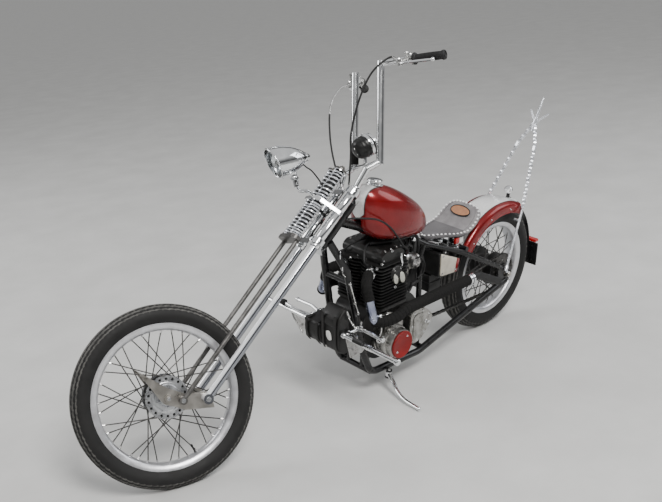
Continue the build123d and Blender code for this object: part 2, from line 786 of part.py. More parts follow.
# Seat: side view of the pad, its plan, and the arched back edge seen from behind
with BuildPart() as seat:
    with BuildSketch(side_plane(160)):
        with BuildLine():
            Polyline((502, 627), (430, 625), (345, 620), (290, 631), (226, 702), (206, 706), (198, 692), (228, 640),
                     (286, 602), (400, 598), (502, 606), close=True)
        make_face()
    extrude(amount=320)
    with BuildSketch(Plane.XY.offset(560)):
        with BuildLine():
            Polyline((502, -26), (476, -46), (426, -66), (390, -90), (342, -105), (300, -108), (250, -102), (190, -84),
                     (190, 84), (250, 102), (300, 108), (342, 105), (390, 90), (426, 66), (476, 46), (502, 26),
                     close=True)
        make_face()
    extrude(amount=200, mode=Mode.INTERSECT)
    with BuildSketch(Plane.YZ.offset(150)):
        with BuildLine():
            Polyline((-112, 560), (-112, 642), (-98, 658), (-78, 676), (-44, 698), (0, 707), (44, 698), (78, 676),
                     (98, 658), (112, 642), (112, 560), close=True)
        make_face()
    extrude(amount=450, mode=Mode.INTERSECT)

# Rear fender, turned about the rear axle
fender_r = 356
fender_half = 90
fender_wall = 3
fender_front = 33
fender_rear = 114
with BuildPart() as rear_fender:
    turn = Plane(origin=rear_axle).rotated((0, -fender_front, 0))
    with BuildSketch(turn):
        with BuildLine():
            Polyline((298, -fender_half), (330, -fender_half))
            ThreePointArc((330, -fender_half), (348, -74), (fender_r - 4, -50))
            ThreePointArc((fender_r - 4, -50), (fender_r, 0), (fender_r - 4, 50))
            ThreePointArc((fender_r - 4, 50), (348, 74), (330, fender_half))
            Polyline((330, fender_half), (298, fender_half), (298, fender_half - fender_wall), (330, fender_half - fender_wall))
            ThreePointArc((330, fender_half - fender_wall), (346, 72), (fender_r - 7, 49))
            ThreePointArc((fender_r - 7, 49), (fender_r - 3, 0), (fender_r - 7, -49))
            ThreePointArc((fender_r - 7, -49), (346, -72), (330, fender_wall - fender_half))
            Polyline((330, fender_wall - fender_half), (298, fender_wall - fender_half), (298, -fender_half))
        make_face()
    revolve(axis=Axis(rear_axle, (0, -1, 0)), revolution_arc=fender_rear - fender_front)

    bar((-145, 0, 644), (-145, 0, 675), 8)
    with Locations((-145, 0, 687)):
        Sphere(18.5)

# Sissy bar: plain feet, twisted uprights that meet above the wheel, and a spike with two side prongs
sissy_side = 12.7
sissy_join = Vector(-322, 0, 1002)
with BuildPart() as sissy_bar:
    for side in (1, -1):
        foot = Vector(40, side * (axle_plate_y + 23.5), 352)
        bend = Vector(-122, side * 106, 628)
        middle = Vector(-266, side * 48, 900)
        bar(foot, bend, 6)
        bar((-82, side * (fender_half + cover_gap), 576), (-82, side * 116, 576), 6)
        bar(bend, middle, 8, sides=4)
        bar(middle, sissy_join, 8, sides=4)
        for joint in (bend, middle):
            with Locations(joint):
                Sphere(8.5)
        bar(sissy_join - Vector(0, 0, 4), Vector(-350, side * 58, 1045), 5)
        bar(Vector(-346, side * 54, 1040), Vector(-366, side * 50, 1078), 3.5)
    bar(sissy_join - Vector(-6, 0, 30), Vector(-376, 0, 1113), 6)

# Tail strap, plate and lamp
with BuildPart() as plate:
    turn = Plane(origin=rear_axle).rotated((0, -(fender_rear - 4), 0))
    with BuildSketch(turn):
        with Locations(((fender_r - 3 - 5.3), 0)):
            Rectangle(4, 44)
    revolve(axis=Axis(rear_axle, (0, -1, 0)), revolution_arc=78)
    with BuildSketch(Plane.YZ.offset(-358)):
        with Locations((0, 300)):
            Rectangle(144, 124)
    extrude(amount=9)

with BuildPart() as tail_lamp:
    with BuildSketch(Plane.YZ.offset(-376)):
        with Locations((0, 372)):
            Rectangle(120, 15)
    extrude(amount=28.4)

# Electrics box under the seat rails, with its plain side panel and the coil spring beside it
with BuildPart() as electrics_box:
    extrude(outline([(508, 568), (354, 500), (368, 436), (508, 446)], side_plane(104)), amount=204)
    extrude(outline([(498, 566), (362, 502), (376, 443), (498, 452)], side_plane(110)), amount=8)
    for side in (1, -1):
        bar((340, side * 48, 490), (340, side * 48, 599.2), 18)
        bar((340, side * 48, 500), (376, side * 48, 500), 10)

# Leather tool bags on the downtubes
with BuildPart() as bags:
    left_bag = [(1072, 470), (1100, 496), (1144, 452), (1144, 330), (1128, 288), (1084, 276), (1072, 292)]
    extrude(outline(left_bag, side_plane(103.7)), amount=100.7)
    right_bag = [(1050, 404), (1144, 398), (1144, 329), (1124, 291), (1072, 283), (1050, 311)]
    extrude(outline(right_bag, side_plane(-3)), amount=100.7)

# Chain: one closed loop round both sprockets
def belt(grow):
    """The outline round both sprockets, grown outward from the chain's pitch line."""
    with BuildSketch(side_plane(chain_y + chain_width / 2)) as loop:
        with Locations((front_sprocket_x, front_sprocket_z)):
            Circle(front_sprocket_r + grow)
        with Locations((0, rear_tyre_r)):
            Circle(rear_sprocket_r + grow)
        make_hull()
    return loop.sketch


with BuildPart() as chain:
    extrude(belt(chain_height / 2), amount=chain_width)
    extrude(belt(-chain_height / 2), amount=chain_width, mode=Mode.SUBTRACT)

# Forward foot pegs, brake pedal and shift lever on their frame brackets
with BuildPart() as foot_pegs:
    for side in (1, -1):
        bar((1122, side * 112, 384), (1106, side * 400, 371), 10.5)
        bar((1107, side * 386, 371.6), (1106, side * 404, 370.8), 13.5)
        bar((1018, side * 113, 384), (1122, side * 113, 384), 8.4)
        bar((1010, side * 104.6, 384), (1030, side * 113, 384), 9)
    tube([(1100, -108, 388), (1128, -170, 405), (1128, -240, 408)], 6, [16])
    bar((1128, -235, 408), (1128, -288, 408), 13)
    tube([(1100, 108, 388), (1116, 178, 408), (1150, 205, 408)], 6, [14])
    bar((1150, 198, 408), (1150, 250, 408), 11)

with BuildPart() as kick_starter:
    bar((640, -case_right - cover_gap, 345), (640, -164, 345), 12)
    tube([(640, -155, 345), (600, -155, 500), (600, -215, 528)], 8, [22])
    bar((600, -196, 520), (600, -262, 548), 12)

# Cables: from the fork's two levers and the lamp down to the top tree and the perch, and one across the tank
with BuildPart() as cables:
    left_end = head_point(44, 28, leg_top + 3)
    left = [(752, 214, 1402), (764, 196, 1436), (846, 162, 1385), (910, 120, 1285), (956, 72, 1165), (955, 38, 1066)]
    tube(left + [left_end], 4, [16, 60, 120, 140, 60])
    right_end = head_point(44, -28, leg_top + 3)
    right = [(770, -226, 1395), (826, -208, 1385), (905, -180, 1320), (955, -130, 1195), (985, -70, 1055)]
    tube(right + [right_end], 4, [60, 90, 140, 60])
    lead_end = head_point(115, 0, perch_z + perch_thickness + 2)
    tube([(1140, 0, 1075), (1112, 0, 1060), (1085, 0, 1010), lead_end], 3, [20, 40])

with BuildPart() as tank_cable:
    neck_side = tuple(head_point(-10, 28.6, 985))
    over = [(985, 60, 850), (918, 96, 836), (872, 122, 800), (820, 130, 735), (785, 126, 692), (724, 100, 648)]
    tube([neck_side] + over + [(712, 74, 627)], 4, [14, 60, 60, 100, 60, 20])

# Side stand, hinged on the frame's pin
with BuildPart() as side_stand:
    bar(stand_pivot - stand_axis * stand_eye / 2, stand_pivot + stand_axis * stand_eye / 2, 13)
    tube([stand_pivot + stand_leg * 8, (stand_pivot + stand_foot) / 2 + stand_bow, stand_foot], stand_r, [160])
    with Locations(stand_foot):
        Sphere(stand_r)
    bar(stand_pivot - stand_axis * stand_eye, stand_pivot + stand_axis * stand_eye, 6.05, mode=Mode.SUBTRACT)

# Which pieces stay with the bike, and which turn with the fork in its own or the upright frame
bike_pieces = {
    "frame": frame,
    "crankcase": crankcase,
    "cylinders": cylinders,
    "cylinder_head": cylinder_head,
    "left_covers": left_covers,
    "alternator_disc": alternator_disc,
    "clutch_cover": clutch_cover,
    "carburettors": carburettors,
    "exhaust_pipes": exhaust_pipes,
    "exhaust_wraps": exhaust_wraps,
    "tank": tank,
    "seat": seat,
    "rear_fender": rear_fender,
    "sissy_bar": sissy_bar,
    "plate": plate,
    "tail_lamp": tail_lamp,
    "electrics_box": electrics_box,
    "bags": bags,
    "chain": chain,
    "foot_pegs": foot_pegs,
    "kick_starter": kick_starter,
    "tank_cable": tank_cable,
    "rear_axle_bar": rear_axle_bar,
    "rear_tyre": rear_tyre,
    "rear_rim": rear_rim,
    "rear_spokes": rear_spokes,
    "rear_hub": rear_hub,
    "side_stand": side_stand,
}
fork_pieces = {
    "front_axle_bar": front_axle_bar,
    "rockers": rockers,
    "rear_legs": rear_legs,
    "front_legs": front_legs,
    "springs": springs,
    "spring_perch": spring_perch,
    "lower_tree": lower_tree,
    "top_tree": top_tree,
    "front_tyre": front_tyre,
    "front_rim": front_rim,
    "front_spokes": front_spokes,
    "front_hub": front_hub,
}
upright_fork_pieces = {
    "headlight_shell": headlight_shell,
    "headlight_lens": headlight_lens,
    "handlebar": handlebar,
    "grips": grips,
    "levers": levers,
    "gauges": gauges,
    "cables": cables,
}

# Park every piece, move the origin to the middle of the parked bike's base, and write the files
parked = {}
for pieces, place in ((bike_pieces, bike_place), (fork_pieces, fork_place), (upright_fork_pieces, upright_fork_place)):
    for label, piece in pieces.items():
        piece.part = place * piece.part
        parked[label] = piece
box = Compound([piece.part for piece in parked.values()]).bounding_box()
to_base = Pos(-box.center().X, -box.center().Y, 0)
os.makedirs("parts", exist_ok=True)
for label, name in parked.items():
    name.part = to_base * name.part
    name.part.label = label
    export_step(name.part, f"parts/{label}.step")
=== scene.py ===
import bpy
import bmesh
from math import atan2, cos, pi, radians, sin, sqrt
from mathutils import Matrix, Vector


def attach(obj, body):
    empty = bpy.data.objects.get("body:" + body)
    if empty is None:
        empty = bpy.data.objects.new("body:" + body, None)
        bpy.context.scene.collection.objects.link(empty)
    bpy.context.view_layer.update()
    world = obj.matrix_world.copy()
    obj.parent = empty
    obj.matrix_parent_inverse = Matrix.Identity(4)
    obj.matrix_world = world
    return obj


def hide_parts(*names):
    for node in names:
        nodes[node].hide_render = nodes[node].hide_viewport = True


# Chopper motorcycle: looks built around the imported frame.
# Pieces are drawn in millimetres in the same upright bike and fork frames as the CAD, then placed in metres.

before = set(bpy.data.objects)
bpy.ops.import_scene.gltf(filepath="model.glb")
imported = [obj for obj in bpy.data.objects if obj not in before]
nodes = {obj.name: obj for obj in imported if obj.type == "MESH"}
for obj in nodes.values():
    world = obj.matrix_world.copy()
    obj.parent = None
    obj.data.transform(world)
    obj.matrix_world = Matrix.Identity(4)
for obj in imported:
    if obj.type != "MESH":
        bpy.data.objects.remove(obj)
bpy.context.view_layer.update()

AHEAD, LEFT, UP = (Vector(way) for way in ((1, 0, 0), (0, 1, 0), (0, 0, 1)))
MM = Matrix.Diagonal((0.001, 0.001, 0.001, 1))
BIKE = MM @ Matrix((
    (0.999999, -0.00019, 0.001445, -913.735),
    (0.0, 0.991445, 0.130526, -48.941),
    (-0.001458, -0.130526, 0.991444, 0.462),
    (0, 0, 0, 1),
))
FORK = MM @ Matrix((
    (0.557724, 0.321782, -0.765114, 873.742),
    (-0.40913, 0.908611, 0.083901, -19.646),
    (0.722189, 0.266238, 0.638405, 220.369),
    (0, 0, 0, 1),
))
BARS = MM @ Matrix((
    (0.94461, 0.321782, -0.064565, -799.931),
    (-0.327255, 0.908611, -0.259481, 623.445),
    (-0.024832, 0.266238, 0.963588, 48.487),
    (0, 0, 0, 1),
))


def vec(*parts):
    return Vector(parts)


# Materials
def new_material(name):
    made = bpy.data.materials.new(name)
    made.use_nodes = True
    tree = made.node_tree
    return made, tree, tree.nodes["Principled BSDF"]


def set_inputs(tree, made, inputs):
    """Set a node's inputs to values, or link them to other nodes' outputs."""
    for label, value in inputs.items():
        if isinstance(value, bpy.types.NodeSocket):
            tree.links.new(value, made.inputs[label])
        else:
            made.inputs[label].default_value = value


def output_of(tree, kind, output, inputs, **options):
    """One output of a new node."""
    made = tree.nodes.new("ShaderNode" + kind)
    for label, value in options.items():
        setattr(made, label, value)
    set_inputs(tree, made, inputs)
    return made.outputs[output]


def object_place(tree):
    return output_of(tree, "TexCoord", "Object", {})


def noise(tree, coord, scale, detail=4):
    inputs = {"Vector": coord, "Scale": scale, "Detail": detail, "Roughness": 0.6}
    return output_of(tree, "TexNoise", "Fac", inputs)


def ramp(tree, value, stops):
    made = tree.nodes.new("ShaderNodeValToRGB")
    elements = made.color_ramp.elements
    while len(elements) < len(stops):
        elements.new(0.5)
    for element, (position, colour) in zip(elements, stops):
        element.position = position
        element.color = (*colour, 1)
    set_inputs(tree, made, {"Fac": value})
    return made.outputs["Color"]


def grey(value):
    return (value, value, value)


def along_way(tree, vector, way):
    """How far a vector goes along a fixed direction."""
    return output_of(tree, "VectorMath", "Value", {0: vector, 1: way}, operation="DOT_PRODUCT")


def reckon(tree, operation, a, b=0.0):
    return output_of(tree, "Math", "Value", {0: a, 1: b}, operation=operation)


def mapped(tree, value, ranges):
    """Map a value between two ranges, given as from low, from high, to low and to high."""
    limits = dict(zip(("From Min", "From Max", "To Min", "To Max"), ranges))
    return output_of(tree, "MapRange", "Result", {"Value": value, **limits})


def mixed(tree, share, a, b):
    """Go from colour a to colour b."""
    return output_of(tree, "Mix", "Result", {"Factor": share, "A": a, "B": b}, data_type="RGBA")


def surface(name, light, dark, rough=(0.3, 0.5), scale=60, metal=0.0, bump=0.0, bump_scale=400, coat=0.0,
            sheen=0.0, specular=0.5):
    """A worn surface: colour and gloss drift between two values, over a fine grain in the normals."""
    made, tree, shader = new_material(name)
    coord = object_place(tree)
    broad = noise(tree, coord, scale)
    set_inputs(tree, shader, {
        "Base Color": ramp(tree, broad, [(0.35, dark), (0.7, light)]),
        "Roughness": ramp(tree, broad, [(0.3, grey(rough[0])), (0.75, grey(rough[1]))]),
        "Metallic": metal, "Coat Weight": coat, "Coat Roughness": 0.06, "Sheen Weight": sheen,
        "Specular IOR Level": specular,
    })
    if bump:
        grain = {"Strength": bump, "Distance": 0.001, "Height": noise(tree, coord, bump_scale, 6)}
        set_inputs(tree, shader, {"Normal": output_of(tree, "Bump", "Normal", grain)})
    return made


def lit_from_above(made, bright, metal):
    """Mix a brighter colour into the faces that look up and forward: a painted sky reflection on chrome."""
    tree = made.node_tree
    shader = tree.nodes["Principled BSDF"]
    normal = output_of(tree, "TexCoord", "Normal", {})
    share = mapped(tree, along_way(tree, normal, (0.45, -0.25, 0.86)), (0.3, 0.65, 0, 1))
    plain = shader.inputs["Base Color"].links[0].from_socket
    lit = mixed(tree, share, plain, (*bright, 1))
    set_inputs(tree, shader, {"Base Color": lit, "Metallic": mapped(tree, share, (0, 1, 1, metal))})


chrome = surface("chrome", (0.88, 0.89, 0.9), (0.78, 0.79, 0.8), (0.05, 0.16), 30, metal=1.0)
dull_chrome = surface("dull_chrome", (0.62, 0.62, 0.62), (0.42, 0.41, 0.4), (0.2, 0.42), 40, metal=1.0,
                      bump=0.05)
bare_steel = surface("bare_steel", (0.5, 0.48, 0.45), (0.37, 0.35, 0.32), (0.25, 0.42), 22, metal=1.0,
                     bump=0.08)
hub_alloy = surface("hub_alloy", (0.68, 0.69, 0.71), (0.5, 0.51, 0.53), (0.24, 0.38), 40, metal=1.0,
                    bump=0.04)
polished = surface("polished", (0.72, 0.72, 0.71), (0.48, 0.48, 0.47), (0.12, 0.28), 45, metal=1.0,
                   bump=0.03)
aluminium = surface("aluminium", (0.52, 0.51, 0.49), (0.26, 0.255, 0.24), (0.22, 0.42), 30, metal=1.0,
                    bump=0.08)
frame_black = surface("frame_black", (0.008, 0.008, 0.009), (0.004, 0.004, 0.004), (0.22, 0.4), 25,
                      bump=0.05, coat=0.2, specular=0.35)
engine_black = surface("engine_black", (0.014, 0.0135, 0.013), (0.004, 0.004, 0.004), (0.32, 0.6), 40,
                       bump=0.25, specular=0.35)
leg_grey = surface("leg_grey", (0.16, 0.155, 0.15), (0.07, 0.068, 0.066), (0.3, 0.5), 40, metal=0.7,
                   bump=0.05)
# Rear fork legs: the dark base colour is a painted dark reflection, and lit_from_above below adds a painted
# sky reflection.
leg_chrome = surface("leg_chrome", (0.33, 0.34, 0.37), (0.27, 0.28, 0.31), (0.05, 0.14), 30, metal=1.0)

spoke_metal = surface("spoke_metal", (0.09, 0.088, 0.085), (0.04, 0.039, 0.038), (0.4, 0.6), 80, metal=0.6)
rim_alloy = surface("rim_alloy", (0.74, 0.75, 0.78), (0.6, 0.6, 0.62), (0.3, 0.42), 24, metal=0.9, bump=0.03)
tread_dust = surface("tread_dust", (0.13, 0.127, 0.12), (0.055, 0.054, 0.052), (0.75, 0.95), 30, bump=0.3,
                     specular=0.2)
bright_bar = surface("bright_bar", (0.86, 0.88, 0.92), (0.66, 0.68, 0.72), (0.2, 0.34), 30, metal=0.75)
rubber = surface("rubber", (0.014, 0.014, 0.015), (0.006, 0.006, 0.006), (0.45, 0.7), 70, bump=0.15,
                 specular=0.35)
tyre_rubber = surface("tyre_rubber", (0.016, 0.0155, 0.0155), (0.008, 0.008, 0.008), (0.55, 0.8), 18,
                      bump=0.2, specular=0.28)
red_lens = surface("red_lens", (0.5, 0.01, 0.01), (0.3, 0.005, 0.005), (0.1, 0.2), 60, coat=0.6)
black_plastic = surface("black_plastic", (0.012, 0.012, 0.012), (0.006, 0.006, 0.006), (0.3, 0.5), 50,
                        bump=0.08, specular=0.35)
red_paint = surface("red_paint", (0.24, 0.006, 0.007), (0.15, 0.003, 0.004), (0.2, 0.35), 12, coat=0.8,
                    specular=0.3)
wrap_cloth = surface("wrap_cloth", (0.012, 0.0115, 0.011), (0.004, 0.004, 0.004), (0.75, 0.95), 120,
                     bump=0.9, bump_scale=900, specular=0.2)
grey_leather = surface("grey_leather", (0.115, 0.11, 0.115), (0.07, 0.066, 0.07), (0.5, 0.7), 22, bump=0.5,
                       bump_scale=650, sheen=0.1)
pale_leather = surface("pale_leather", (0.24, 0.23, 0.235), (0.16, 0.15, 0.155), (0.5, 0.7), 22, bump=0.5,
                       bump_scale=650, sheen=0.1)
white_plate = surface("white_plate", (0.75, 0.75, 0.73), (0.6, 0.6, 0.58), (0.3, 0.5), 30)
cream_panel = surface("cream_panel", (0.66, 0.62, 0.52), (0.5, 0.46, 0.38), (0.35, 0.55), 25, coat=0.3)
stud_white = surface("stud_white", (0.9, 0.9, 0.9), (0.75, 0.75, 0.76), (0.2, 0.35), 40, coat=0.5)
patch_cloth = surface("patch_cloth", (0.42, 0.2, 0.1), (0.33, 0.15, 0.08), (0.8, 0.95), 60, bump=0.8,
                      bump_scale=1400, sheen=0.2)
lid_red = surface("lid_red", (0.25, 0.01, 0.009), (0.15, 0.005, 0.005), (0.45, 0.65), 14, coat=0.1,
                  specular=0.25)
light_alloy = surface("light_alloy", (0.62, 0.62, 0.55), (0.45, 0.45, 0.4), (0.3, 0.5), 60, metal=0.6,
                      bump=0.1)
blued = surface("blued_chrome", (0.5, 0.53, 0.62), (0.24, 0.26, 0.36), (0.14, 0.3), 12, metal=1.0)
sprocket_steel = surface("sprocket_steel", (0.12, 0.115, 0.11), (0.05, 0.05, 0.05), (0.35, 0.55), 45,
                         metal=0.8, bump=0.1)
leather_black = surface("leather_black", (0.013, 0.012, 0.0115), (0.004, 0.004, 0.004), (0.36, 0.6), 30,
                        bump=0.5, bump_scale=520, specular=0.35)
# Painted sky reflection on the rear legs' chrome: lighter where the faces look up and forward.
lit_from_above(leg_chrome, (0.96, 0.97, 1.0), 0.35)

clear_glass, glass_tree, clear_shader = new_material("clear_glass")
set_inputs(glass_tree, clear_shader, {"Base Color": (0.95, 0.97, 0.98, 1), "Roughness": 0.03,
                                      "Transmission Weight": 1.0, "IOR": 1.3})


# Paint with a centre stripe: bright between two edges measured across the bike, with a dark pinline at each
def stripe_reach(tree, coord, narrowing):
    """Ten times the metres from the bike's middle, grown where the stripe narrows and at its low front."""
    across_bike = along_way(tree, coord, (-0.00019, 0.991445, -0.130526))
    apart = reckon(tree, "ABSOLUTE", reckon(tree, "ADD", across_bike, 0.048408))
    reach = reckon(tree, "MULTIPLY", apart, 10.0)
    if not narrowing:
        return reach
    x = output_of(tree, "SeparateXYZ", "X", {"Vector": coord})
    z = output_of(tree, "SeparateXYZ", "Z", {"Vector": coord})
    low, front = mapped(tree, z, (0.80, 0.832, 0.4, 0)), mapped(tree, x, (-0.09, -0.05, 0, 1))
    reach = reckon(tree, "ADD", reach, mapped(tree, x, narrowing))
    return reckon(tree, "ADD", reach, reckon(tree, "MULTIPLY", low, front))


def striped_paint(name, half_width, stripe_light, stripe_dark, narrowing=None):
    made, tree, shader = new_material(name)
    coord = object_place(tree)
    reach = stripe_reach(tree, coord, narrowing)
    edge = half_width / 10
    mask = ramp(tree, reach, [(edge - 0.006, grey(0)), (edge + 0.006, grey(1))])
    pin = ramp(tree, reach, [(edge - 0.026, grey(0)), (edge - 0.018, grey(1)), (edge + 0.018, grey(1)),
                             (edge + 0.026, grey(0))])
    broad = noise(tree, coord, 9)
    red = ramp(tree, broad, [(0.35, (0.145, 0.0025, 0.0035)), (0.7, (0.225, 0.0055, 0.0065))])
    bright = ramp(tree, broad, [(0.35, stripe_dark), (0.7, stripe_light)])
    set_inputs(tree, shader, {
        "Base Color": mixed(tree, pin, mixed(tree, mask, bright, red), (0.05, 0.045, 0.045, 1)),
        "Roughness": ramp(tree, noise(tree, coord, 1800, 2), [(0.3, grey(0.2)), (0.8, grey(0.36))]),
        "Metallic": 0.35, "Coat Weight": 0.5, "Specular IOR Level": 0.3, "Coat Roughness": 0.05,
    })
    return made


tank_paint = striped_paint("tank_paint", 3.3, (0.82, 0.82, 0.81), (0.66, 0.66, 0.66),
                           (-0.125, -0.065, 0.27, 0))
fender_paint = striped_paint("fender_paint", 6.2, (0.84, 0.84, 0.84), (0.7, 0.7, 0.7))


def shade_smooth(mesh, crease):
    """Smooth shading, with edges kept sharp where they turn by more than the crease, in degrees."""
    for poly in mesh.polygons:
        poly.use_smooth = True
    mesh.set_sharp_from_angle(angle=radians(crease))


finish_of = {
    "frame": frame_black, "rear_axle_bar": bare_steel, "front_axle_bar": bare_steel, "rockers": bare_steel,
    "rear_legs": leg_chrome, "front_legs": leg_grey, "spring_perch": chrome, "lower_tree": chrome,
    "top_tree": chrome,
}
for label, finish in finish_of.items():
    mesh = nodes[label].data
    mesh.materials.clear()
    mesh.materials.append(finish)
    shade_smooth(mesh, 28)


# Mesh tools: every shape is drawn into a bmesh in millimetres
def turns_of(count):
    """Evenly spaced angles round a full turn."""
    return [2 * pi * k / count for k in range(count)]


def curve_point(a, b, c, d, t):
    """A point between b and c on the smooth curve through all four."""
    return 0.5 * (2 * b + (c - a) * t + (2 * a - 5 * b + 4 * c - d) * t ** 2
                  + (3 * b - a - 3 * c + d) * t ** 3)


def smooth_path(points, steps=8):
    """A smooth line through the points."""
    line = [Vector(p) for p in points]
    ends = [line[0] * 2 - line[1]] + line + [line[-1] * 2 - line[-2]]
    out = []
    for around in zip(ends, ends[1:], ends[2:], ends[3:]):
        out += [curve_point(*around, step / steps) for step in range(steps)]
    return out + [line[-1]]


def corner_curve(a, b, c, radius, share, steps):
    """The curve that rounds corner b between a and c, reaching at most a share of each side."""
    reach = min(radius, (b - a).length * share, (c - b).length * share)
    start, end = b + (a - b).normalized() * reach, b + (c - b).normalized() * reach
    shares = [step / steps for step in range(steps + 1)]
    return [start * (1 - t) ** 2 + b * 2 * t * (1 - t) + end * t ** 2 for t in shares]


def bent_path(points, radius, steps=6):
    """Straight runs with rounded corners. Radius is a number or one for each corner."""
    line = [Vector(p) for p in points]
    radii = radius if isinstance(radius, tuple) else [radius] * (len(line) - 2)
    out = [line[0]]
    for a, b, c, r in zip(line, line[1:], line[2:], radii):
        out += corner_curve(a, b, c, r, 0.48, steps)
    return out + [line[-1]]


def round_corners(outline, radius, steps=5):
    """The same closed outline with each corner turned into a short curve."""
    line = [Vector(p) for p in outline]
    out = []
    for a, b, c in zip(line[-1:] + line, line, line[1:] + line[:1]):
        out += [tuple(p) for p in corner_curve(a, b, c, radius, 0.45, steps)]
    return out


def middle_of(outline):
    return Vector((sum(p[0] for p in outline) / len(outline), sum(p[1] for p in outline) / len(outline)))


def walk_round(points, gap, start=0.0):
    """Evenly spaced places round a closed line: the side's number, the share of it gone and the point."""
    walk = start
    for i, (a, b) in enumerate(zip(points, points[1:] + points[:1])):
        length = (b - a).length
        while walk < length:
            yield i, walk / length, a.lerp(b, walk / length)
            walk += gap
        walk -= length


def ways_along(line, closed=False):
    """The direction of a line at each of its points."""
    count = len(line)
    if closed:
        return [(line[(i + 1) % count] - line[i - 1]).normalized() for i in range(count)]
    return [(line[min(i + 1, count - 1)] - line[max(i - 1, 0)]).normalized() for i in range(count)]


def skin(bm, rings, closed=True, ends=True):
    """Faces between neighbouring rings, with a cap on the first and the last."""
    count = len(rings[0])
    for low, high in zip(rings, rings[1:]):
        for k in range(count if closed else count - 1):
            bm.faces.new((low[k], low[(k + 1) % count], high[(k + 1) % count], high[k]))
    if ends:
        bm.faces.new(rings[0][::-1])
        bm.faces.new(rings[-1])


def add_tube(bm, points, radius, sides=14, closed=False, squash=1.0):
    """A tube along points. Radius is a number or one for each point; squash flattens the section."""
    line = [Vector(p) for p in points]
    radii = radius if isinstance(radius, (list, tuple)) else [radius] * len(line)
    ways = ways_along(line, closed)
    side = ways[0].orthogonal().normalized()
    rings = []
    for point, way, r in zip(line, ways, radii):
        side = (side - way * side.dot(way)).normalized()
        other = way.cross(side)
        rings.append([bm.verts.new(point + (side * cos(t) * squash + other * sin(t)) * r)
                      for t in turns_of(sides)])
    skin(bm, rings + rings[:1] if closed else rings, ends=not closed)


def add_hose(bm, points, radius, sides, steps=8):
    """A tube along the smooth line through the points."""
    add_tube(bm, smooth_path(points, steps), radius, sides)


def add_lathe(bm, profile, origin, axis, sides=64, closed=False):
    """Turn (along, radius) points about an axis."""
    origin, axis = Vector(origin), Vector(axis).normalized()
    side = axis.orthogonal().normalized()
    other = axis.cross(side)
    rings = []
    for along, r in profile:
        middle = origin + axis * along
        turns = turns_of(sides) if r > 0.01 else [0]
        rings.append([bm.verts.new(middle + (side * cos(t) + other * sin(t)) * r) for t in turns])
    for low, high in zip(rings, rings[1:] + (rings[:1] if closed else [])):
        for k in range(sides):
            n = (k + 1) % sides
            if len(low) == 1:
                bm.faces.new((low[0], high[n], high[k]))
            elif len(high) == 1:
                bm.faces.new((low[k], low[n], high[0]))
            else:
                bm.faces.new((low[k], low[n], high[n], high[k]))


def add_disc(bm, centre, axis, r, height, chamfer, sides):
    """A short round bar from centre, with its outer edge chamfered."""
    add_lathe(bm, [(0, 0), (0, r), (height - chamfer, r), (height, r - chamfer), (height, 0)], centre, axis,
              sides)


def add_bolt(bm, centre, axis, across, height):
    """A hex head on a washer."""
    add_disc(bm, centre, axis, across * 0.75, height * 0.25, height * 0.08, 16)
    base = Vector(centre) + Vector(axis).normalized() * height * 0.2
    add_lathe(bm, [(0, 0), (0, across * 0.56), (height * 0.7, across * 0.56), (height * 0.85, across * 0.46),
                   (height * 0.85, 0)], base, axis, 6)


def add_prism(bm, outline, plane, low, high, bevel=1.5, segments=2):
    """A solid from an outline in two axes, xz or xy, between two values of the third, its rims bevelled."""
    levels = [[(a, c, b) if plane == "xz" else (a, b, c) for a, b in outline] for c in (low, high)]
    rings = [[bm.verts.new(p) for p in level] for level in levels]
    skin(bm, rings, ends=False)
    rims = [edge for cap in (bm.faces.new(rings[0]), bm.faces.new(rings[1][::-1])) for edge in cap.edges]
    if bevel:
        bmesh.ops.bevel(bm, geom=list(set(rims)), offset=bevel, segments=segments, affect="EDGES",
                        profile=0.6)


def add_block(bm, low, high, bevel):
    """A box between two corners with bevelled edges."""
    made = bmesh.ops.create_cube(bm, size=1)["verts"]
    low, high = Vector(low), Vector(high)
    size = high - low
    for vert in made:
        vert.co = vec(vert.co.x * size.x, vert.co.y * size.y, vert.co.z * size.z) + (low + high) / 2
    edges = list({edge for vert in made for edge in vert.link_edges})
    bmesh.ops.bevel(bm, geom=edges, offset=bevel, segments=2, affect="EDGES", profile=0.6)


def add_ball(bm, centre, r):
    for vert in bmesh.ops.create_uvsphere(bm, u_segments=24, v_segments=14, radius=r)["verts"]:
        vert.co += Vector(centre)


def new_object(name, data):
    made = bpy.data.objects.new(name, data)
    bpy.context.collection.objects.link(made)
    return made


def placed_mesh(name, bm, place):
    bmesh.ops.recalc_face_normals(bm, faces=bm.faces)
    mesh = bpy.data.meshes.new(name)
    bm.to_mesh(mesh)
    bm.free()
    mesh.transform(place)
    return mesh


def piece(name, bm, place, material, body, stands_for=(), crease=38, slot=None):
    """Turn a bmesh into a placed object that rides on a body."""
    made = new_object(name, placed_mesh(name, bm, place))
    made.data.materials.append(material)
    shade_smooth(made.data, crease)
    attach(made, body)
    if stands_for:
        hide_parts(*stands_for)
    return made


def on_frame(name, bm, material, stands_for=(), **looks):
    return piece(name, bm, BIKE, material, "frame", stands_for, **looks)


def on_bars(name, bm, material, stands_for=(), **looks):
    return piece(name, bm, BARS, material, "fork", stands_for, **looks)


def apply_modifiers(made):
    """Keep the shape that the modifiers give, without the modifiers."""
    shaped = bpy.data.meshes.new_from_object(made.evaluated_get(bpy.context.evaluated_depsgraph_get()))
    made.modifiers.clear()
    made.data = shaped
    return made


def rounded(made):
    """Subdivide a piece into a smooth surface."""
    made.modifiers.new("smooth", "SUBSURF").levels = 2
    apply_modifiers(made)
    for poly in made.data.polygons:
        poly.use_smooth = True
    return made

# Wheels
SPOKES = 10


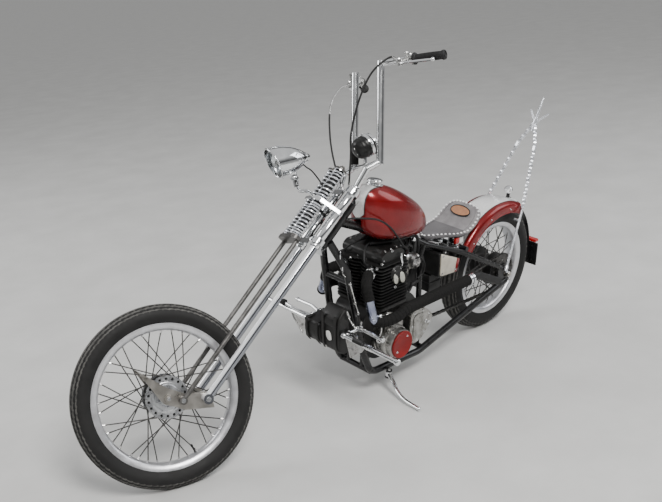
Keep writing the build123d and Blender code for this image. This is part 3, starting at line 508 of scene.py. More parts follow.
def add_spokes(bm, nipples, centre, hub_r, hub_y, end_r, sweep):
    """Crossed round spokes with their nipples at the rim."""
    step = 360 / SPOKES
    for side in (1, -1):
        for way, near_y, rim_y in ((1, hub_y + 2.5, 11), (-1, hub_y - 2.5, 6)):
            for i in range(SPOKES):
                end = radians(i * step + (side + way * 2) * step / 8)
                start = end - radians(way * sweep)
                near = Vector(centre) + vec(hub_r * cos(start), side * near_y, hub_r * sin(start))
                far = Vector(centre) + vec(end_r * cos(end), side * rim_y, end_r * sin(end))
                inward = vec(0, -side * way * 3, 0)
                add_tube(bm, [near + inward, near, near + (far - near) * 0.04, far], 2.3, 7)
                back = (near - far).normalized()
                add_tube(nipples, [far, far + back * 15], 3.4, 6)


def tyre_section(outer, half, bead_r, bead_half):
    """Half of the tyre's section, as across and out, from the bead to the crown."""
    side_r = outer - half
    rows = [(bead_half - 3, bead_r - 2), (bead_half + 0.6, bead_r + 1), (bead_half + 2.4, bead_r + 5),
            (bead_half + 2.2, bead_r + 8), (bead_half + 4, bead_r + 11)]
    flat = side_r - bead_r - 11
    for t in (0.3, 0.6, 0.85):
        bulge = bead_half + 4 + (half - bead_half - 4) * sin(t * pi / 2)
        rows.append((bulge, bead_r + 11 + flat * t))
    for angle in (0, 10, 20, 28, 32, 36, 42, 48, 54, 60, 66, 72, 78, 84, 90):
        rows.append((half * cos(radians(angle)), side_r + half * sin(radians(angle))))
    return rows


def make_tyre(name, centre, outer, half, bead_r, bead_half, place, body, node, blocks, groove_rows, depth):
    """Tyre with a bead line, side ribs and a tread of grooves and slanted cuts."""
    rows = tyre_section(outer, half, bead_r, bead_half)
    count = len(rows)
    section = rows + [(-y, r) for y, r in reversed(rows[:-1])]
    steps = blocks * 4
    bm = bmesh.new()
    rings = []
    for k in range(steps):
        angle = 2 * pi * k / steps
        ring = []
        for i, (y, r) in enumerate(section):
            row = min(i, len(section) - 1 - i)
            drop = 0.0
            if row >= 10 and row < count - 1:
                if row in groove_rows:
                    drop = depth
                elif (k + row // 2) % 4 == 0 and row < count - 3:
                    drop = depth * 0.9
            if row == 7:
                drop = -0.7
            out = r - drop
            spot = vec(out * cos(angle), y - (y / half) * drop * 0.3, out * sin(angle))
            ring.append(bm.verts.new(Vector(centre) + spot))
        rings.append(ring)
    for k in range(steps):
        here, there = rings[k], rings[(k + 1) % steps]
        for i in range(len(section) - 1):
            face = bm.faces.new((here[i], here[i + 1], there[i + 1], there[i]))
            row = min(i, len(section) - 2 - i)
            if row >= 11 and row not in groove_rows and row + 1 not in groove_rows:
                face.material_index = 1
        bm.faces.new((here[-1], here[0], there[0], there[-1]))
    tyre = piece(name, bm, place, tyre_rubber, body, (node,), crease=35, slot="tyre")
    tyre.data.materials.append(tread_dust)


FRONT_R, REAR_R = 347, 322
front_axle = (160, 0, 0)
rear_axle = (0, 0, REAR_R)
make_tyre("front_tyre_tread", front_axle, FRONT_R, 40, 268, 27, FORK, "front_wheel", "front_tyre", 84,
          (14, 18), 2.6)
make_tyre("rear_tyre_tread", rear_axle, REAR_R, 54, 230, 40, BIKE, "rear_wheel", "rear_tyre", 64,
          (13, 16, 20), 3.6)

for label, centre, hub_r, hub_y, end_r, sweep, place, body in (
    ("front", front_axle, 74, 34, 254, 54, FORK, "front_wheel"),
    ("rear", rear_axle, 78, 40, 216, 54, BIKE, "rear_wheel"),
):
    spokes, nipples = bmesh.new(), bmesh.new()
    add_spokes(spokes, nipples, centre, hub_r, hub_y, end_r, sweep)
    piece(label + "_wire_spokes", spokes, place, spoke_metal, body, (label + "_spokes",), slot="spoke")
    piece(label + "_nipples", nipples, place, dull_chrome, body, slot="spoke")

# Rims: a finer turning with a rolled edge, and the tyre's valve
for label, centre, rim_r, half, place, body in (
    ("front", front_axle, 277.5, 27, FORK, "front_wheel"),
    ("rear", rear_axle, 239.5, 40, BIKE, "rear_wheel"),
):
    bm = bmesh.new()
    lip = half + 3
    add_lathe(bm, [(-lip, rim_r - 2), (-lip + 1.5, rim_r), (-half + 0.5, rim_r - 1.5), (-half, rim_r - 9.5),
                   (half, rim_r - 9.5), (half - 0.5, rim_r - 1.5), (lip - 1.5, rim_r), (lip, rim_r - 2),
                   (lip - 0.6, rim_r - 8), (half - 1.5, rim_r - 22), (half - 8, rim_r - 27),
                   (half * 0.45, rim_r - 30), (-half * 0.45, rim_r - 30), (8 - half, rim_r - 27),
                   (1.5 - half, rim_r - 22), (0.6 - lip, rim_r - 8)], centre, LEFT, 160, closed=True)
    piece(label + "_rim_turned", bm, place, rim_alloy, body, (label + "_rim",), slot="rim")
    bm = bmesh.new()
    stem = Vector(centre) + vec(cos(radians(205)), 0, sin(radians(205))) * (rim_r - 29)
    inward = (Vector(centre) - stem).normalized()
    add_tube(bm, [stem, stem + inward * 26], 3.2, 10)
    add_tube(bm, [stem + inward * 26, stem + inward * 35], 4.6, 10)
    piece(label + "_valve", bm, place, rubber, body)


def drilled_flange(bm, centre, y, r, inner, thickness, holes, hole_ring, hole_r):
    """A flange with a ring of real holes, built in wedges round each hole."""
    for k in range(holes):
        low, high = 2 * pi * k / holes, 2 * pi * (k + 1) / holes
        middle = (low + high) / 2
        hole = [(hole_ring * cos(middle) + hole_r * cos(t), hole_ring * sin(middle) + hole_r * sin(t))
                for t in turns_of(16)]
        rim = []
        for x, z in hole:
            dx, dz = x - hole_ring * cos(middle), z - hole_ring * sin(middle)
            radial = (dx * cos(middle) + dz * sin(middle)) / hole_r
            around = (-dx * sin(middle) + dz * cos(middle)) / hole_r
            widest = max(abs(radial), abs(around))
            radial, around = radial / widest, around / widest
            out = (r + inner) / 2 + radial * (r - inner) / 2
            angle = middle + around * (high - low) / 2
            rim.append((out * cos(angle), out * sin(angle)))
        rings = []
        for points, height in ((rim, y), (hole, y), (hole, y - thickness), (rim, y - thickness)):
            rings.append([bm.verts.new(Vector(centre) + vec(x, height, z)) for x, z in points])
        skin(bm, rings + rings[:1], ends=False)

# Front hub: polished barrel, two drilled flanges and a stepped cap
bm = bmesh.new()
for side in (1, -1):
    drilled_flange(bm, front_axle, side * 38 + (0 if side == 1 else 7), 81, 58, 7, 18, 69.5, 5.2)
    add_lathe(bm, [(side * 30, 34), (side * 31, 58.5), (side * 38, 58.5), (side * 39.5, 54),
                   (side * 38.5, 50), (side * 43, 46), (side * 43.5, 34), (side * 40, 31), (side * 40.5, 24),
                   (side * 49.5, 22), (side * 49.5, 8.7)], front_axle, LEFT, 64)
add_lathe(bm, [(-31, 34), (-24, 30), (24, 30), (31, 34)], front_axle, LEFT, 64)
bmesh.ops.remove_doubles(bm, verts=bm.verts, dist=0.01)
piece("front_hub_polished", bm, FORK, hub_alloy, "front_wheel", ("front_hub",), slot="chrome")
# Thin black rings over the flanges' inner faces: painted shade between the two flanges.
bm = bmesh.new()
for side in (1, -1):
    add_lathe(bm, [(side * 30.2, 59), (side * 30.2, 75.4), (side * 30.8, 75.4), (side * 30.8, 59)],
              front_axle, LEFT, 48, closed=True)
piece("hub_flange_painted_shade", bm, FORK, rubber, "front_wheel")


# Fork: points of the steering frame, given in the upright bike frame
def head_point(x, y, z):
    return vec(1787.15 + 0.642788 * x - 0.766044 * z, y, 224.433 + 0.766044 * x + 0.642788 * z)

# Coil springs with closed end turns
bm, cores = bmesh.new(), bmesh.new()
for bottom, top, turns in ((784, 952, 12), (966, 1112, 9)):
    for side in (1, -1):
        add_lathe(cores, [(bottom + 4, 0), (bottom + 4, 16.6), (top - 4, 16.6), (top - 4, 0)],
                  (122, side * 36, 0), UP, 24)
        line = []
        steps = turns * 22
        for i in range(steps + 1):
            t = i / steps
            eased = t - 0.045 * sin(2 * pi * t)
            height = bottom + 3.6 + (top - bottom - 7.2) * min(1, max(0, eased))
            angle = 2 * pi * turns * t
            line.append((122 + 21.4 * cos(angle), side * 36 + 21.4 * sin(angle), height))
        add_tube(bm, line, 3.6, 9)
piece("coil_springs", bm, FORK, bright_bar, "fork", ("springs",), slot="chrome")
piece("spring_cores", cores, FORK, rubber, "fork")

# Sleeves, collars and fastenings along the fork
bm = bmesh.new()
for side in (1, -1):
    leg = (42, side * 81, 0)
    for low, high, r in ((827.3, 951.7, 20), (966.3, 1049.7, 19)):
        add_lathe(bm, [(low, 16.1), (low, r - 1), (low + 1.5, r), (high - 1.5, r), (high, r - 1),
                       (high, 16.1)], leg, UP, 40)
    add_lathe(bm, [(788, 16.1), (788, 18), (790, 19.5), (800, 19.5), (802.7, 18.5), (802.7, 16.1)], leg, UP,
              40)
    for z in (783.5, 953, 965, 1112):
        low, high = (z, z + 3) if z < 900 else (z - 2.6, z)
        if z in (783.5, 965):
            low, high = z + 0.8, z + 3.4
        add_lathe(bm, [(low, 9), (low, 27), (high, 27), (high, 9)], (122, side * 36, 0), UP, 36)
    add_disc(bm, (42, side * 81, 1098), UP, 15.5, 5, 3, 36)
    add_bolt(bm, (42, side * 81, 1102.5), UP, 8, 6)
    for z in (815, 1062):
        add_bolt(bm, (48, side * 106, z), (0.3, side, 0), 7, 6)
    add_bolt(bm, (112, side * 83.5, 24), LEFT * side, 11, 9)
    add_bolt(bm, (42, side * 100.2, 81), LEFT * side, 13, 10)
    add_bolt(bm, (160, side * 74.2, 0), LEFT * side, 9, 8)
    add_bolt(bm, (122, side * 68, 784), UP, 6, 5)
piece("fork_fittings", bm, FORK, chrome, "fork", slot="chrome")

# Headlight: bullet shell with a slanted visor, rim, reflector, bulb and domed lens
lamp = vec(1270, 0, 1117)
bm = bmesh.new()
add_lathe(bm, [(-34, 0), (-32, 40), (-29, 57.2), (40, 59.2), (40, 62), (-20, 61), (-45, 59), (-70, 54.5),
               (-92, 47.5), (-112, 38), (-128, 28), (-136, 22), (-138, 19), (-142, 19), (-144, 16),
               (-150, 13), (-156, 7), (-158, 0)], lamp, AHEAD, 72)
slant = vec(140, 0, -44).normalized()
cut = bmesh.ops.bisect_plane(bm, geom=bm.verts[:] + bm.edges[:] + bm.faces[:], plane_co=lamp + vec(2, 0, 0),
                             plane_no=slant, clear_outer=True)
bmesh.ops.bridge_loops(bm, edges=[e for e in cut["geom_cut"] if isinstance(e, bmesh.types.BMEdge)])
rim = [lamp + vec(2 + 61.2 * sin(t) * 44 / 140, 61.2 * cos(t), 61.2 * sin(t)) for t in turns_of(64)]
add_tube(bm, rim, 3, 10, closed=True)
crest = [lamp + vec(14, 0, 66), lamp + vec(-30, 0, 64), lamp + vec(-80, 0, 53), lamp + vec(-118, 0, 36)]
add_tube(bm, crest, [1.5, 3, 3, 1.5], 8, squash=1.3)
add_lathe(bm, [(-16, 0), (-16, 17), (-8, 15), (0, 13), (6, 15), (10, 19), (14, 19), (16, 14), (44, 13),
               (46, 0)], lamp + vec(-72, 0, -64), -UP, 28)
add_tube(bm, bent_path([lamp + vec(-72, 0, -104), lamp + vec(-78, 0, -126), (1150, 0, 984),
                        head_point(142, 0, 970)], 14), 7, 16)
add_disc(bm, head_point(142, 0, 966.3), head_point(0, 0, 1) - head_point(0, 0, 0), 11, 12, 2, 24)
add_bolt(bm, lamp + vec(-72, 14, -96), LEFT, 7, 8)
add_bolt(bm, lamp + vec(-26, 0, -60.5), -UP, 4, 5)
on_bars("headlight_bullet", bm, chrome, ("headlight_shell",), slot="chrome")
bm = bmesh.new()
add_lathe(bm, [(-18, 56.6), (-15, 55), (-10, 48), (-6, 36), (-3.6, 18), (-3, 0)], lamp, AHEAD, 64)
add_lathe(bm, [(-20, 56), (-17.5, 54), (-12.5, 47), (-8.5, 35), (-6.2, 18), (-5.6, 0)], lamp, AHEAD, 64)
on_bars("headlight_glass", bm, clear_glass, ("headlight_lens",), slot="glass")
bm = bmesh.new()
add_lathe(bm, [(-20.5, 55.5), (-24, 48), (-27.5, 34), (-28.5, 10), (-28.5, 0)], lamp, AHEAD, 64)
on_bars("headlight_reflector", bm, chrome, slot="chrome")
bm = bmesh.new()
add_lathe(bm, [(-28, 9), (-22, 9), (-21, 6), (-12, 5), (-10, 0)], lamp, AHEAD, 20)
on_bars("headlight_bulb", bm, white_plate)


# Handlebar controls, left and right
def riser(side):
    """The foot and the top of a riser."""
    return vec(873, side * 126, 1038), vec(780, side * 126, 1420)


def grip_point(side, back):
    """A point of the grip's line, a distance back from its free end."""
    end, top = vec(634, side * 362, 1382), riser(side)[1]
    return end - (end - top).normalized() * back


grips, clamps, blades = bmesh.new(), bmesh.new(), bmesh.new()
for side in (1, -1):
    start = grip_point(side, 0)
    back = (grip_point(side, 100) - start).normalized()
    profile = [(-8, 0), (-8, 6), (-6, 7), (-5, 13), (-8, 15), (-7, 18.5), (0, 19.5), (3, 18.5), (4, 16)]
    for i in range(22):
        at = 8 + i * 5
        swell = 16.2 + 0.9 * sin(pi * i / 21)
        profile += [(at, swell), (at + 3.2, swell), (at + 3.6, swell - 0.9), (at + 4.6, swell - 0.9)]
    profile += [(119, 16.5), (121, 20), (122, 23.5), (126, 24), (127.5, 22), (127.5, 12.8)]
    add_lathe(grips, profile, start, back, 40)
    perch = grip_point(side, 144)
    add_lathe(clamps, [(130, 12.8), (130, 17), (131.5, 19), (150, 19), (151.5, 17), (151.5, 12.8)], start,
              back, 36)
    add_lathe(clamps, [(152, 12.8), (152, 18), (161, 18), (161, 12.8)], start, back, 36)
    add_tube(clamps, [perch + vec(12, 0, 2), perch + vec(34, 0, -2), perch + vec(58, 0, -7)], [13, 11, 9],
             16, squash=0.8)
    add_disc(clamps, perch + vec(50, 0, -19), UP, 10, 24, 2, 24)
    add_bolt(clamps, perch + vec(50, 0, 5), UP, 7, 6)
    add_bolt(clamps, perch + vec(-4, 0, 17), UP, 5, 5)
    add_bolt(clamps, perch + vec(-4, 0, -18), -UP, 5, 6)
    if side == -1:
        add_disc(clamps, perch + vec(22, 2, 8), UP, 21, 26, 3, 36)
        add_disc(clamps, perch + vec(22, 2, 34), UP, 23, 7, 2, 36)
    else:
        add_ball(clamps, perch + vec(20, 14, 24), 9)
        add_tube(clamps, [perch + vec(20, 6, 4), perch + vec(20, 14, 20)], 4, 12)
    root = perch + vec(50, 0, -7)
    tip = grip_point(side, 4) + vec(46, 0, -10)
    way = (tip - root)
    line = smooth_path([root, root + way * 0.12 + vec(7, 0, 0), root + way * 0.35 + vec(11, 0, 0),
                        root + way * 0.7 + vec(3, 0, 0), tip], 5)
    add_tube(blades, line, [9, 8, 7.5, 7] + [6.5] * (len(line) - 6) + [5.5, 5], 14, squash=0.55)
    add_ball(blades, tip, 8.5)
on_bars("grips_ribbed", grips, rubber, ("grips",), slot="black_rubber")
on_bars("lever_clamps", clamps, polished, ("levers",), slot="chrome")
on_bars("lever_blades", blades, chrome, slot="chrome")

# Black tape wound round the foot of the right riser, and a collar at the base of each
bm = bmesh.new()
low, high = riser(-1)
rise = (high - low).normalized()
profile = [(12, 15.4)]
for i in range(12):
    profile += [(12 + i * 7, 17.6), (18.4 + i * 7, 16.8)]
add_lathe(bm, profile + [(97, 15.4)], low, rise, 28)
on_bars("riser_tape", bm, wrap_cloth)
bm = bmesh.new()
for side in (1, -1):
    base = head_point(42, side * 88, 1077.5)
    up = head_point(0, 0, 1) - head_point(0, 0, 0)
    add_lathe(bm, [(-3, 14), (-3, 21), (0, 22), (5, 22), (9, 18), (9, 14)], base, up, 32)
on_bars("riser_fittings", bm, chrome, slot="chrome")

# Handlebar: stout risers on bent feet, joined by a cross bar, with the grips' tubes let into their tops
bm = bmesh.new()
for side in (1, -1):
    foot, knee = head_point(42, side * 88, 1075), vec(930, side * 110, 1020)
    elbow, top = riser(side)
    up = (top - elbow).normalized()
    out = (grip_point(side, 0) - top).normalized()
    add_tube(bm, [foot, knee], 13.6, 24)
    add_ball(bm, knee, 13.6)
    add_tube(bm, [knee, elbow + (elbow - knee).normalized() * 9], 13.6, 24)
    add_lathe(bm, [(-13, 0), (-13, 13.5), (-11, 15.5), (401, 15.5), (403, 13.5),
                   (403, 0)], elbow, up, 32)
    add_tube(bm, [top, grip_point(side, 0) - out * 1], 12.6, 24)
add_tube(bm, [(884, -126, 1034), (884, 126, 1034)], 9, 20)
on_bars("handlebar_tubes", bm, chrome, ("handlebar",), crease=40, slot="chrome")

# Two instruments: rounded cans, bright bezels, dials with marks and needles, and their bracket
cans, bezels, marks, dials, glasses = (bmesh.new() for _ in range(5))
normal = vec(-sin(radians(72)), 0, cos(radians(72)))
for x, y, z in ((868, 42, 1118), (797, -60, 1122)):
    centre = vec(x, y, z)
    add_lathe(cans, [(-70, 0), (-70, 13), (-68.5, 24), (-63, 33), (-55, 39), (-46, 42.5), (-44, 41.5),
                     (-42, 43), (-30, 44.5), (-28, 43.5), (-26, 44.8), (-12, 45)], centre, normal, 56)
    add_lathe(bezels, [(-14, 45), (-14, 48.6), (-11, 49.6), (-4, 49.6), (0, 47), (0, 44), (-3, 42.5),
                       (-5, 42.5)], centre, normal, 64)
    add_lathe(dials, [(-5, 42.6), (-5, 0)], centre, normal, 48)
    add_lathe(glasses, [(-2.4, 42.8), (-1.4, 30), (-1, 0)], centre, normal, 48)
    side = LEFT
    up = normal.cross(side)
    for k in range(25):
        angle = radians(-120 + k * 10)
        ray = up * -cos(angle) + side * sin(angle)
        inner = 33 if k % 3 else 29
        add_tube(marks, [centre - normal * 4.6 + ray * inner, centre - normal * 4.6 + ray * 37], 0.9, 4)
    hand = up * -cos(radians(-96)) + side * sin(radians(-96))
    add_tube(marks, [centre - normal * 3.6 - hand * 8, centre - normal * 3.6 + hand * 32], [1.8, 0.7], 6)
    add_disc(marks, centre - normal * 4.8, normal, 4, 2, 0.6, 16)
    for turn in (40, 140, 270):
        ray = up * cos(radians(turn)) + side * sin(radians(turn))
        add_bolt(bezels, centre - normal * 66 + ray * 18, -normal, 4, 4)
add_tube(bezels, [(836, -60, 1090), (894, 42, 1090)], 7, 16)
add_tube(bezels, [(874, 10, 1092), (884, 10, 1043.3)], 8, 16)
add_bolt(bezels, (872, 10, 1098), UP, 8, 6)
on_bars("gauge_cans", cans, black_plastic, ("gauges",), slot="black_plastic")
on_bars("gauge_bezels", bezels, chrome, slot="chrome")
on_bars("gauge_dials", dials, black_plastic)
on_bars("gauge_marks", marks, white_plate)
on_bars("gauge_glasses", glasses, clear_glass)

# Control cables from both levers, and the headlight's lead
black_lines, bright_lines = bmesh.new(), bmesh.new()
left_line = smooth_path([(752, 214, 1402), (770, 192, 1428), (846, 158, 1384), (908, 120, 1288),
                         (950, 76, 1170), (955, 42, 1090), head_point(44, 28, 1077)], 9)
add_tube(black_lines, left_line, 4, 12)
right_line = smooth_path([(770, -226, 1395), (826, -208, 1383), (898, -180, 1316), (948, -134, 1202),
                          (980, -80, 1085), head_point(44, -28, 1077)], 9)
add_tube(bright_lines, right_line[:22], 3.6, 12)
add_tube(black_lines, right_line[21:], 4, 12)
add_hose(black_lines, [(1150, 0, 1096), (1138, 0, 1078), (1120, 2, 1060), (1098, 2, 1020), (1090, 4, 985),
                                   head_point(115, 0, 968)], 3, 10, 6)
for line in (left_line, right_line):
    way = (line[2] - line[0]).normalized()
    add_tube(bright_lines, [line[0] - way * 4, line[0] + way * 22], [6, 5], 12)
    add_tube(bright_lines, [line[0] + way * 22, line[0] + way * 34], [4.6, 4.2], 12)
    add_tube(bright_lines, [line[-1], line[-3]], 5.4, 12)
on_bars("control_cables", black_lines, rubber, ("cables",), slot="black_plastic")
on_bars("cable_fittings", bright_lines, dull_chrome)

# Fuel tank: a smooth teardrop on the backbone
tank_rows = ((938, 806, 900, 14), (934, 786, 920, 36), (926, 772, 934, 52), (910, 752, 949, 70),
             (880, 728, 957, 90), (840, 714, 951, 104), (790, 706, 936, 112), (740, 698, 914, 114),
             (690, 690, 885, 111), (640, 682, 852, 100), (600, 677, 822, 85), (568, 674, 790, 66),
             (545, 676, 760, 48), (532, 684, 736, 32), (526, 698, 718, 14))
half_shape = ((0, 0), (0.5, 0.0), (0.8, 0.06), (0.95, 0.22), (1.0, 0.42), (0.95, 0.63), (0.79, 0.81),
              (0.46, 0.945), (0, 1))
full_shape = list(half_shape) + [(-y, z) for y, z in reversed(half_shape[1:-1])]


def tank_ring(section, turn):
    x, low, high, half = section
    at = turn * len(full_shape)
    i = int(at)
    t = at - i
    a, b, c, d = (Vector(full_shape[(i + k) % len(full_shape)]) for k in (-1, 0, 1, 2))
    p = curve_point(a, b, c, d, t)
    return vec(x, p.x * half, low + p.y * (high - low))


bm = bmesh.new()
skin(bm, [[bm.verts.new(tank_ring(row, k / 64)) for k in range(64)] for row in tank_rows])
tank_body = on_frame("tank_shell", bm, tank_paint, ("tank",), crease=60, slot="red_metal")
rounded(tank_body)
bm = bmesh.new()
tunnel = [(970, 842), (970, 640), (460, 640), (460, 690), (640, 732), (900, 796)]
skin(bm, [[bm.verts.new((x, y, z)) for x, z in tunnel] for y in (-19.6, 19.6)])
cutter = new_object("tunnel", placed_mesh("tunnel", bm, BIKE))
cut = tank_body.modifiers.new("tunnel", "BOOLEAN")
cut.object = cutter
cut.operation = "DIFFERENCE"
cut.solver = "EXACT"
apply_modifiers(tank_body)
bpy.data.objects.remove(cutter)
tank_body.data.set_sharp_from_angle(angle=radians(40))

# Filler neck and its chrome cap, the tank's bolts and its fuel tap
bm = bmesh.new()
cap_foot, cap_way = vec(840, 0, 946), vec(-7, 0, 42).normalized()
add_lathe(bm, [(0, 36), (4, 35), (7, 31), (12, 30), (12, 0)], cap_foot, cap_way, 48)
add_lathe(bm, [(11, 26), (12, 31.5), (14, 33), (18, 33), (22, 31), (25, 26), (26.5, 14), (27, 0)], cap_foot,
          cap_way, 48)
side = cap_way.orthogonal().normalized()
other = cap_way.cross(side)
for turn in turns_of(24):
    ray = side * cos(turn) + other * sin(turn)
    add_tube(bm, [cap_foot + cap_way * 13.5 + ray * 32.6, cap_foot + cap_way * 19 + ray * 32.6], 1.4, 6)
for side in (1, -1):
    add_bolt(bm, (560, side * 30, 684), -UP, 7, 6)
add_tube(bm, [(640, 46, 686), (640, 46, 664), (640, 62, 660)], 6, 12)
add_disc(bm, (640, 56, 661), LEFT, 9, 10, 2, 20)
on_frame("filler_cap", bm, chrome, slot="chrome")

# Seat: one leather pad over the pan and up the back panel
seat_rows = ((503, 622, 14, 0), (497, 626, 28, 0), (480, 628.5, 45, 0), (455, 629, 57, 0),
             (426, 627.5, 70, 0), (396, 625, 87, 0), (365, 622.5, 99, 0), (332, 622, 106, 0),
             (306, 625, 109, 10), (288, 634, 109, 28), (272, 649, 109, 42), (256, 667, 106, 48),
             (241, 684, 97, 50), (228, 697, 80, 52), (217, 705, 55, 58), (209, 708.5, 26, 65))
ACROSS = 14


def seat_point(row, u, lift):
    """A point of the pad: u runs across from -1 to 1, lift is the height over its top."""
    x, z, half, tilt = row
    normal = vec(sin(radians(tilt)), 0, cos(radians(tilt)))
    edge_drop = -5 * abs(u) ** 7 + 1.5 * (1 - u * u)
    swept = max(x - 30 * u * u * min(1, max(0, (310 - x) / 60)), min(x, 203))
    return vec(swept, half * u, z) + normal * (edge_drop + lift)


bm = bmesh.new()
tops, bottoms = [], []
for i, row in enumerate(seat_rows):
    end_drop = -6 if i in (0, len(seat_rows) - 1) else 0
    tops.append([bm.verts.new(seat_point(row, -1 + 2 * k / ACROSS, end_drop)) for k in range(ACROSS + 1)])
    bottoms.append([bm.verts.new(seat_point(row, (-1 + 2 * k / ACROSS) * 0.97, -15 if row[3] < 20 else -13))
                    for k in range(ACROSS + 1)])
for i in range(len(seat_rows) - 1):
    for k in range(ACROSS):
        bm.faces.new((tops[i][k], tops[i][k + 1], tops[i + 1][k + 1], tops[i + 1][k]))
        bm.faces.new((bottoms[i][k], bottoms[i + 1][k], bottoms[i + 1][k + 1], bottoms[i][k + 1]))
    for k in (0, ACROSS):
        bm.faces.new((tops[i][k], tops[i + 1][k], bottoms[i + 1][k], bottoms[i][k]))
for i in (0, len(seat_rows) - 1):
    for k in range(ACROSS):
        bm.faces.new((tops[i][k], tops[i][k + 1], bottoms[i][k + 1], bottoms[i][k]))
pad = on_frame("seat_pad", bm, grey_leather, ("seat",), crease=80, slot="grey_leather")
rounded(pad)
pad.data.materials.append(pale_leather)
panel_front = BIKE @ vec(318, 0, 630)
for face in pad.data.polygons:
    face.material_index = int(face.center.x < panel_front.x)

# Studs all round the pad, its stitched seam, and a plain oval patch on the back panel
border = [(i, -1) for i in range(len(seat_rows))] + [(len(seat_rows) - 1, u) for u in (-0.5, 0, 0.5)]
border += [(i, 1) for i in range(len(seat_rows) - 1, -1, -1)] + [(0, u) for u in (0.5, 0, -0.5)]
outline_points, tilts = [], []
for i, u in border:
    row = seat_rows[i]
    outline_points.append(seat_point(row, u * (1 - 7 / max(row[2], 14)), 1.5))
    tilts.append(row[3])
studs, thread = bmesh.new(), bmesh.new()
for i, t, foot in walk_round(outline_points, 20.5):
    tilt = radians(tilts[i] + (tilts[(i + 1) % len(tilts)] - tilts[i]) * t)
    up = vec(sin(tilt), 0, cos(tilt))
    add_lathe(studs, [(0.6, 5.4), (2.2, 5.1), (3.8, 3.9), (4.8, 2), (5.2, 0)], foot - up * 0.4, up, 14)
on_frame("seat_studs", studs, stud_white, slot="chrome")
for u in (-0.78, 0.78):
    line = smooth_path([seat_point(row, u, 0.8) for row in seat_rows[1:-2]], 6)
    for a, b in zip(line[::2], line[1::2]):
        add_tube(thread, [a, b], 0.9, 5)
on_frame("seat_stitching", thread, rubber)
centre = seat_point((243, 680, 97, 48), 0, 2.6) + vec(4, 7, 0)
up = vec(sin(radians(48)), 0, cos(radians(48)))
climb = vec(-cos(radians(48)), 0, sin(radians(48)))
cloth, edging = bmesh.new(), bmesh.new()
oval = [centre + LEFT * 54 * cos(t) + climb * 25 * sin(t) - up * 4 * cos(t) ** 2 for t in turns_of(40)]
top = [cloth.verts.new(p + up * 1.2) for p in oval]
low = [cloth.verts.new(p - up * 2) for p in oval]
skin(cloth, [top, low], ends=False)
cloth.faces.new(top)
on_frame("seat_patch", cloth, patch_cloth)
add_tube(edging, [p + up * 0.8 for p in oval], 2.4, 8, closed=True)
on_frame("seat_patch_edge", edging, rubber)

# Rear fender: ribbed crown, rolled edges, and a ball lamp on its black neck
section = [(299, 89.5), (312, 90.5), (328, 90), (338, 86), (345.5, 78), (349.5, 66), (351.5, 56),
           (353.6, 51), (355.4, 38), (356.3, 18), (356.5, 0)]
outer = section + [(r, -y) for r, y in reversed(section[:-1])]
inner = [(r - 3 if abs(y) < 84 else r, y - 3 * (1 if y > 0 else -1) if abs(y) >= 84 else y)
         for r, y in outer]


def over_wheel(r, y, angle):
    """A point round the rear axle, its angle in degrees up from straight ahead."""
    return r * cos(radians(angle)), y, REAR_R + r * sin(radians(angle))


bm = bmesh.new()
skin(bm, [[bm.verts.new(over_wheel(r, y, 33 + 81 * i / 72)) for r, y in outer + inner[::-1]]
          for i in range(73)])
for side in (1, -1):
    add_tube(bm, [over_wheel(299.5, side * 89.5, 33 + 81 * i / 60) for i in range(61)], 2.8, 8)
for angle in (33.4, 113.6):
    add_tube(bm, [over_wheel(r, y, angle) for r, y in outer], 2.6, 8)
on_frame("fender_shell", bm, fender_paint, ("rear_fender",), crease=50, slot="red_metal")
neck, ball = bmesh.new(), bmesh.new()
add_lathe(neck, [(0, 17), (3, 16), (5, 9), (24, 8), (27, 11), (30, 11)], (-145, 0, 646), UP, 28)
on_frame("fender_lamp_neck", neck, rubber)
add_lathe(ball, [(-19, 0), (-18.5, 8), (-15, 15), (-9.5, 19.6), (-4, 21.6), (0, 22), (2, 23), (4, 21.6),
                 (9.5, 19.6), (15, 15), (19.5, 9), (21.5, 0)], (-145, 0, 688), (-0.3, 0, 0.95), 36)
for side in (1, -1):
    for angle in (42, 70, 98):
        add_bolt(ball, over_wheel(316, side * 90.4, angle), LEFT * side, 5, 4)
on_frame("fender_lamp_ball", ball, chrome, slot="chrome")


# Sissy bar: plain feet, square bar twisted in stretches, crossed prongs and a spike
def twisted(bm, a, b, size, stretches):
    """A square bar from a to b that turns only inside the given stretches of its length, in millimetres."""
    a, b = Vector(a), Vector(b)
    length = (b - a).length
    way = (b - a).normalized()
    side = way.cross(LEFT).normalized()
    other = way.cross(side)
    steps = int(length / 3)
    turn, rings = pi / 4, []
    for i in range(steps + 1):
        at = length * i / steps
        if any(low < at < high for low, high in stretches):
            turn += radians(7.5)
        rays = [side * cos(turn + k * pi / 2) + other * sin(turn + k * pi / 2) for k in range(4)]
        rings.append([bm.verts.new(a + way * at + ray * size) for ray in rays])
    skin(bm, rings)


bm = bmesh.new()
for side in (1, -1):
    foot, bend = vec(40, side * 149.5, 352), vec(-122, side * 106, 628)
    middle, join = vec(-266, side * 48, 900), vec(-322, 0, 1002)
    add_tube(bm, [foot, foot.lerp(bend, 0.06), foot.lerp(bend, 0.1), bend], [6, 6, 6.2, 6.4], 16)
    add_lathe(bm, [(-6, 6.2), (-6, 9), (18, 9), (24, 6.4)], foot.lerp(bend, 0.02), bend - foot, 20)
    add_bolt(bm, foot + vec(0, side * 7, 0), LEFT * side, 9, 7)
    twisted(bm, bend - (middle - bend).normalized() * 5, middle, 9, ((14, 300),))
    twisted(bm, middle, join, 9, ((4, 112),))
    add_tube(bm, [(-82, side * 90.3, 576), (-82, side * 116, 576)], 6, 16)
    add_bolt(bm, (-82, side * 116, 576), LEFT * side, 7, 6)
    add_ball(bm, bend, 9.5)
    add_tube(bm, [join - vec(0, 0, 6), (-339, side * 26, 1022), (-356, side * 52, 1046)], [6.5, 6.2, 4.5],
             14)
